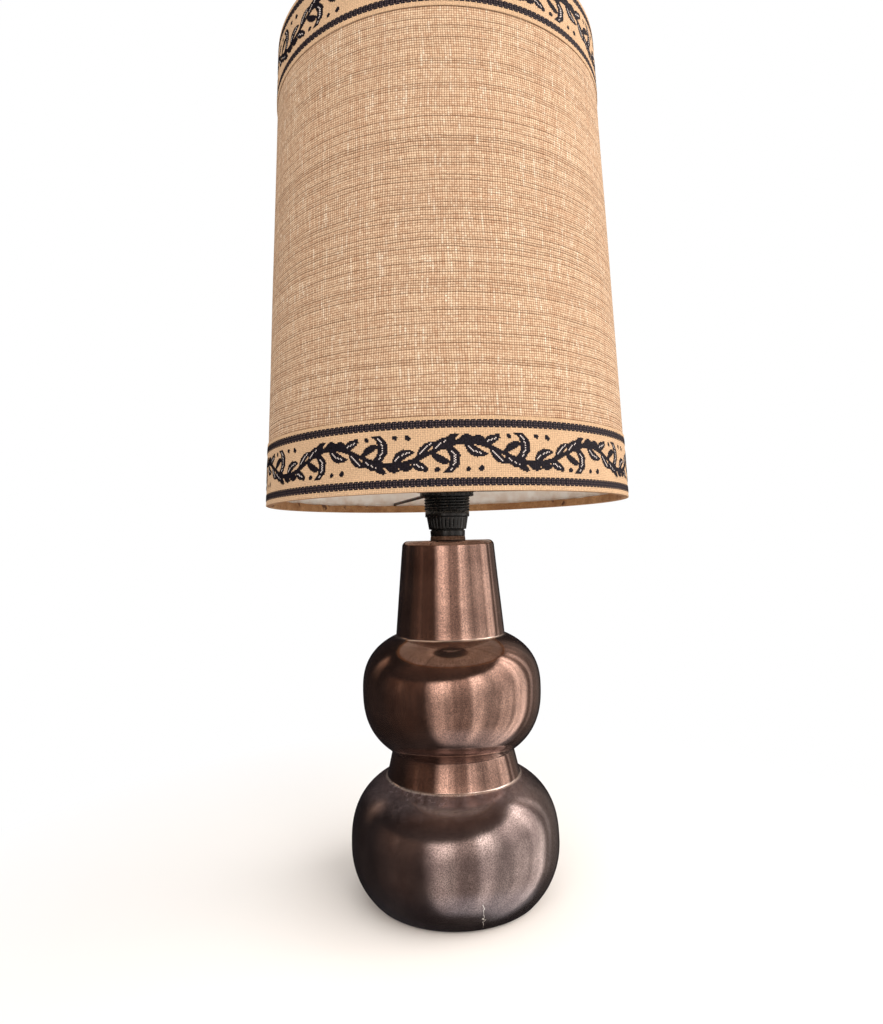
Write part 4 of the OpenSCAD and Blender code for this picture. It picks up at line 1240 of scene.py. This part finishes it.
class LAMP_OT_stage(bpy.types.Operator):
    """Pale floor, soft window-like light from the front right, and the camera"""
    bl_idname = "lamp.stage"
    bl_label = "Stage"

    def execute(self, context):
        scene = context.scene
        stage = scene.lamp_stage
        camera = bpy.data.objects.new("camera", bpy.data.cameras.new("camera"))
        scene.collection.objects.link(camera)
        camera.data.lens = stage.lens
        camera.data.sensor_width = 36
        camera.data.sensor_fit = "AUTO"
        camera.data.clip_start = 0.02
        camera.matrix_world = (Matrix.Translation(stage.eye) @ Matrix.Rotation(stage.yaw, 4, "Z")
                               @ Matrix.Rotation(math.pi / 2 + stage.tilt, 4, "X")
                               @ Matrix.Rotation(stage.roll, 4, "Z"))
        scene.camera = camera
        scene.view_settings.view_transform = "Standard"
        self.floor(scene)
        self.world(scene)
        self.pane("front_left", turn=-24, rise=20, distance=1.8, width=1.0, height=1.4, radiance=1.8,
                  warm="#FFF1E2")
        self.pane("front_right", turn=48, rise=24, distance=1.6, width=1.8, height=1.4, radiance=2.2,
                  warm="#FFF6EC")
        self.pane("far_right", turn=100, rise=20, distance=1.8, width=1.2, height=1.4, radiance=2.0,
                  warm="#FFF6EC")
        self.pane("overhead", turn=20, rise=80, distance=2.0, width=1.6, height=1.6, radiance=1.4,
                  warm="#F4F7FF")
        return {"FINISHED"}

    def floor(self, scene):
        """A pale floor that brightens into the white room away from the lamp."""
        bm = bmesh.new()
        bmesh.ops.create_circle(bm, cap_ends=True, radius=9.0, segments=96)
        mesh = bpy.data.meshes.new("floor")
        bm.to_mesh(mesh)
        bm.free()
        floor = bpy.data.objects.new("floor", mesh)
        scene.collection.objects.link(floor)
        material, tree, shader = new_material("pale_floor", Roughness=0.9)
        place = object_place(tree)
        tint = blotches(tree, place, 400, 2.0)
        link(tree, tone(tree, tint, "#F3F2F0", "#F9F8F6"), shader, "Base Color")
        away = node(tree, "ShaderNodeVectorMath", {0: place}, operation="LENGTH").outputs["Value"]
        glow = node(tree, "ShaderNodeEmission", {"Color": (1, 1, 1, 1), "Strength": 1.0})
        far = ramp(tree, away, 0.12, 0.5)
        either = node(tree, "ShaderNodeMixShader", {0: far, 1: shader.outputs[0], 2: glow.outputs[0]})
        output = next(n for n in tree.nodes if n.type == "OUTPUT_MATERIAL")
        tree.links.new(either.outputs[0], output.inputs["Surface"])
        mesh.materials.append(material)
        floor.visible_glossy = False

    def world(self, scene):
        """White behind the lamp, an even light on matt surfaces, and a painted room for reflections."""
        world = bpy.data.worlds.new("room")
        scene.world = world
        world.use_nodes = True
        tree = world.node_tree
        tree.nodes.clear()
        ray = node(tree, "ShaderNodeLightPath").outputs
        room = node(tree, "ShaderNodeBackground", {"Color": self.room(tree), "Strength": 1.0})
        even = node(tree, "ShaderNodeBackground", {"Color": linear("#F3ECE6"), "Strength": 0.76})
        white = node(tree, "ShaderNodeBackground", {"Color": (1, 1, 1, 1), "Strength": 1.0})
        lit = node(tree, "ShaderNodeMixShader",
                   {0: ray["Is Diffuse Ray"], 1: room.outputs[0], 2: even.outputs[0]})
        seen = node(tree, "ShaderNodeMixShader",
                    {0: ray["Is Camera Ray"], 1: lit.outputs[0], 2: white.outputs[0]})
        node(tree, "ShaderNodeOutputWorld", {"Surface": seen.outputs[0]})

    def room(self, tree):
        """The room as the glaze sees it: windows, by their turn right of the camera and their height."""
        aim = node(tree, "ShaderNodeTexCoord").outputs["Generated"]
        x, y, z = split(tree, node(tree, "ShaderNodeVectorMath", {0: aim}, operation="NORMALIZE").outputs[0])
        turn = maths(tree, "MULTIPLY", maths(tree, "ARCTAN2", x, maths(tree, "MULTIPLY", y, -1.0)),
                     180 / math.pi)
        rise = maths(tree, "MULTIPLY", maths(tree, "ARCSINE", z), 180 / math.pi)
        tall = node(tree, "ShaderNodeCombineXYZ", {0: maths(tree, "MULTIPLY", turn, 1 / 5.0),
                                                   1: maths(tree, "MULTIPLY", rise, 1 / 60.0)})
        stripes = node(tree, "ShaderNodeTexNoise", {"Vector": tall.outputs[0], "Scale": 1.0, "Detail": 3.0,
                                                    "Roughness": 0.6}).outputs[0]
        total = node(tree, "ShaderNodeCombineXYZ", {0: 0.018, 1: 0.016, 2: 0.018}).outputs[0]
        # (from, to, top at its start, top at its end, bottom, softness, colour, radiance)
        windows = ((-27, -4, 22, 25, -70, 7, "#FFF3EA", 3.1), (-4, 24, 25, 30, -70, 3, "#FFEDE2", 1.1),
                   (24, 40, 30, 34, -70, 3, "#FFF7F0", 4.0), (40, 62, 34, 38, -70, 4, "#FFF7F0", 1.9),
                   (62, 84, 38, 44, -70, 4, "#FFF7F0", 3.2), (86, 108, 44, 48, -70, 3, "#FFF7F0", 4.6),
                   (118, 124, 40, 40, -40, 2, "#FFF7F0", 1.6), (-126, -112, 34, 30, 0, 4, "#FFD9BC", 0.7),
                   (-84, -30, 18, 22, -60, 14, "#F2C3A4", 0.2), (-80, 130, 78, 78, 14, 12, "#E2AE8E", 0.3),
                   (108, 150, 44, 44, -50, 8, "#F6E2D4", 0.5),
                   (-68, -64, 14, 14, -6, 4, "#FFE6D6", 0.5))
        for start, end, top0, top1, bottom, soft, warm, radiance in windows:
            top = ramp(tree, turn, start, end, top0, top1)
            above = maths(tree, "SUBTRACT", rise, top)
            part = maths(tree, "MULTIPLY", ramp(tree, turn, start - soft, start + soft),
                         ramp(tree, turn, end + soft, end - soft))
            part = maths(tree, "MULTIPLY", part, ramp(tree, above, 3, -3))
            # Brightest in the sky at the window's top, dimmer where trees and ground are behind it
            part = maths(tree, "MULTIPLY", part, ramp(tree, above, -34, -8, 0.42, 1.0))
            part = maths(tree, "MULTIPLY", part, ramp(tree, rise, bottom, bottom + 35, 0.03, 1.0))
            part = maths(tree, "MULTIPLY", part,
                         ramp(tree, stripes, 0.3, 0.7, 0.5 * radiance, 1.5 * radiance))
            total = plus(tree, total, part, linear(warm))
        # The lit floor, greyer and bluer, below the windows
        ground = maths(tree, "MULTIPLY", ramp(tree, rise, -34, -46), ramp(tree, rise, -76, -64))
        ground = maths(tree, "MULTIPLY", ground, ramp(tree, turn, -38, -8, 0.03, 1.1))
        ground = maths(tree, "MULTIPLY", ground, ramp(tree, turn, 130, 95))
        return plus(tree, total, ground, linear("#BFC4CC"))

    def pane(self, name, turn, rise, distance, width, height, radiance, warm):
        """A soft light that faces the lamp. turn is to the right of the camera's side, in degrees."""
        light = bpy.data.lights.new(name, "AREA")
        light.shape = "RECTANGLE"
        light.size, light.size_y = width, height
        light.energy = radiance * width * height * math.pi
        light.color = linear(warm)[:3]
        pane = bpy.data.objects.new(name, light)
        bpy.context.scene.collection.objects.link(pane)
        a, e = math.radians(turn), math.radians(rise)
        aim = Vector((0, 0, 0.3))
        out = Vector((math.sin(a) * math.cos(e), -math.cos(a) * math.cos(e), math.sin(e)))
        facing = out.to_track_quat("Z", "Y").to_matrix().to_4x4()
        pane.matrix_world = Matrix.Translation(aim + out * distance) @ facing
        pane.visible_camera = False
        pane.visible_glossy = False


# --------------------------------------------------------------------------- the add-on

GROUPS = {"lamp_base": LampBase, "lamp_holder": LampHolder, "lamp_shade": LampShade,
          "lamp_bulb": LampBulb, "lamp_stage": LampStage}
OPERATORS = (LAMP_OT_stage, LAMP_OT_ceramic_body, LAMP_OT_foot, LAMP_OT_neck_fittings, LAMP_OT_lampholder,
             LAMP_OT_screw_rings, LAMP_OT_shade_cover, LAMP_OT_trims, LAMP_OT_hems, LAMP_OT_frame,
             LAMP_OT_bulb)


class LAMP_PT_parts(bpy.types.Panel):
    bl_label = "Table lamp"
    bl_space_type = "VIEW_3D"
    bl_region_type = "UI"
    bl_category = "Lamp"

    def draw(self, context):
        for operator in OPERATORS:
            self.layout.operator(operator.bl_idname)
        for group in GROUPS:
            box = self.layout.box()
            for name in getattr(context.scene, group).__annotations__:
                box.prop(getattr(context.scene, group), name)


def register():
    for group in GROUPS.values():
        bpy.utils.register_class(group)
    for name, group in GROUPS.items():
        setattr(bpy.types.Scene, name, PointerProperty(type=group))
    for cls in OPERATORS + (LAMP_PT_parts,):
        bpy.utils.register_class(cls)


def unregister():
    for cls in reversed(OPERATORS + (LAMP_PT_parts,)):
        bpy.utils.unregister_class(cls)
    for name in GROUPS:
        delattr(bpy.types.Scene, name)
    for group in reversed(GROUPS.values()):
        bpy.utils.unregister_class(group)


def main():
    register()
    for operator in OPERATORS:
        group, name = operator.bl_idname.split(".")
        getattr(getattr(bpy.ops, group), name)()


if __name__ == "__main__":
    main()
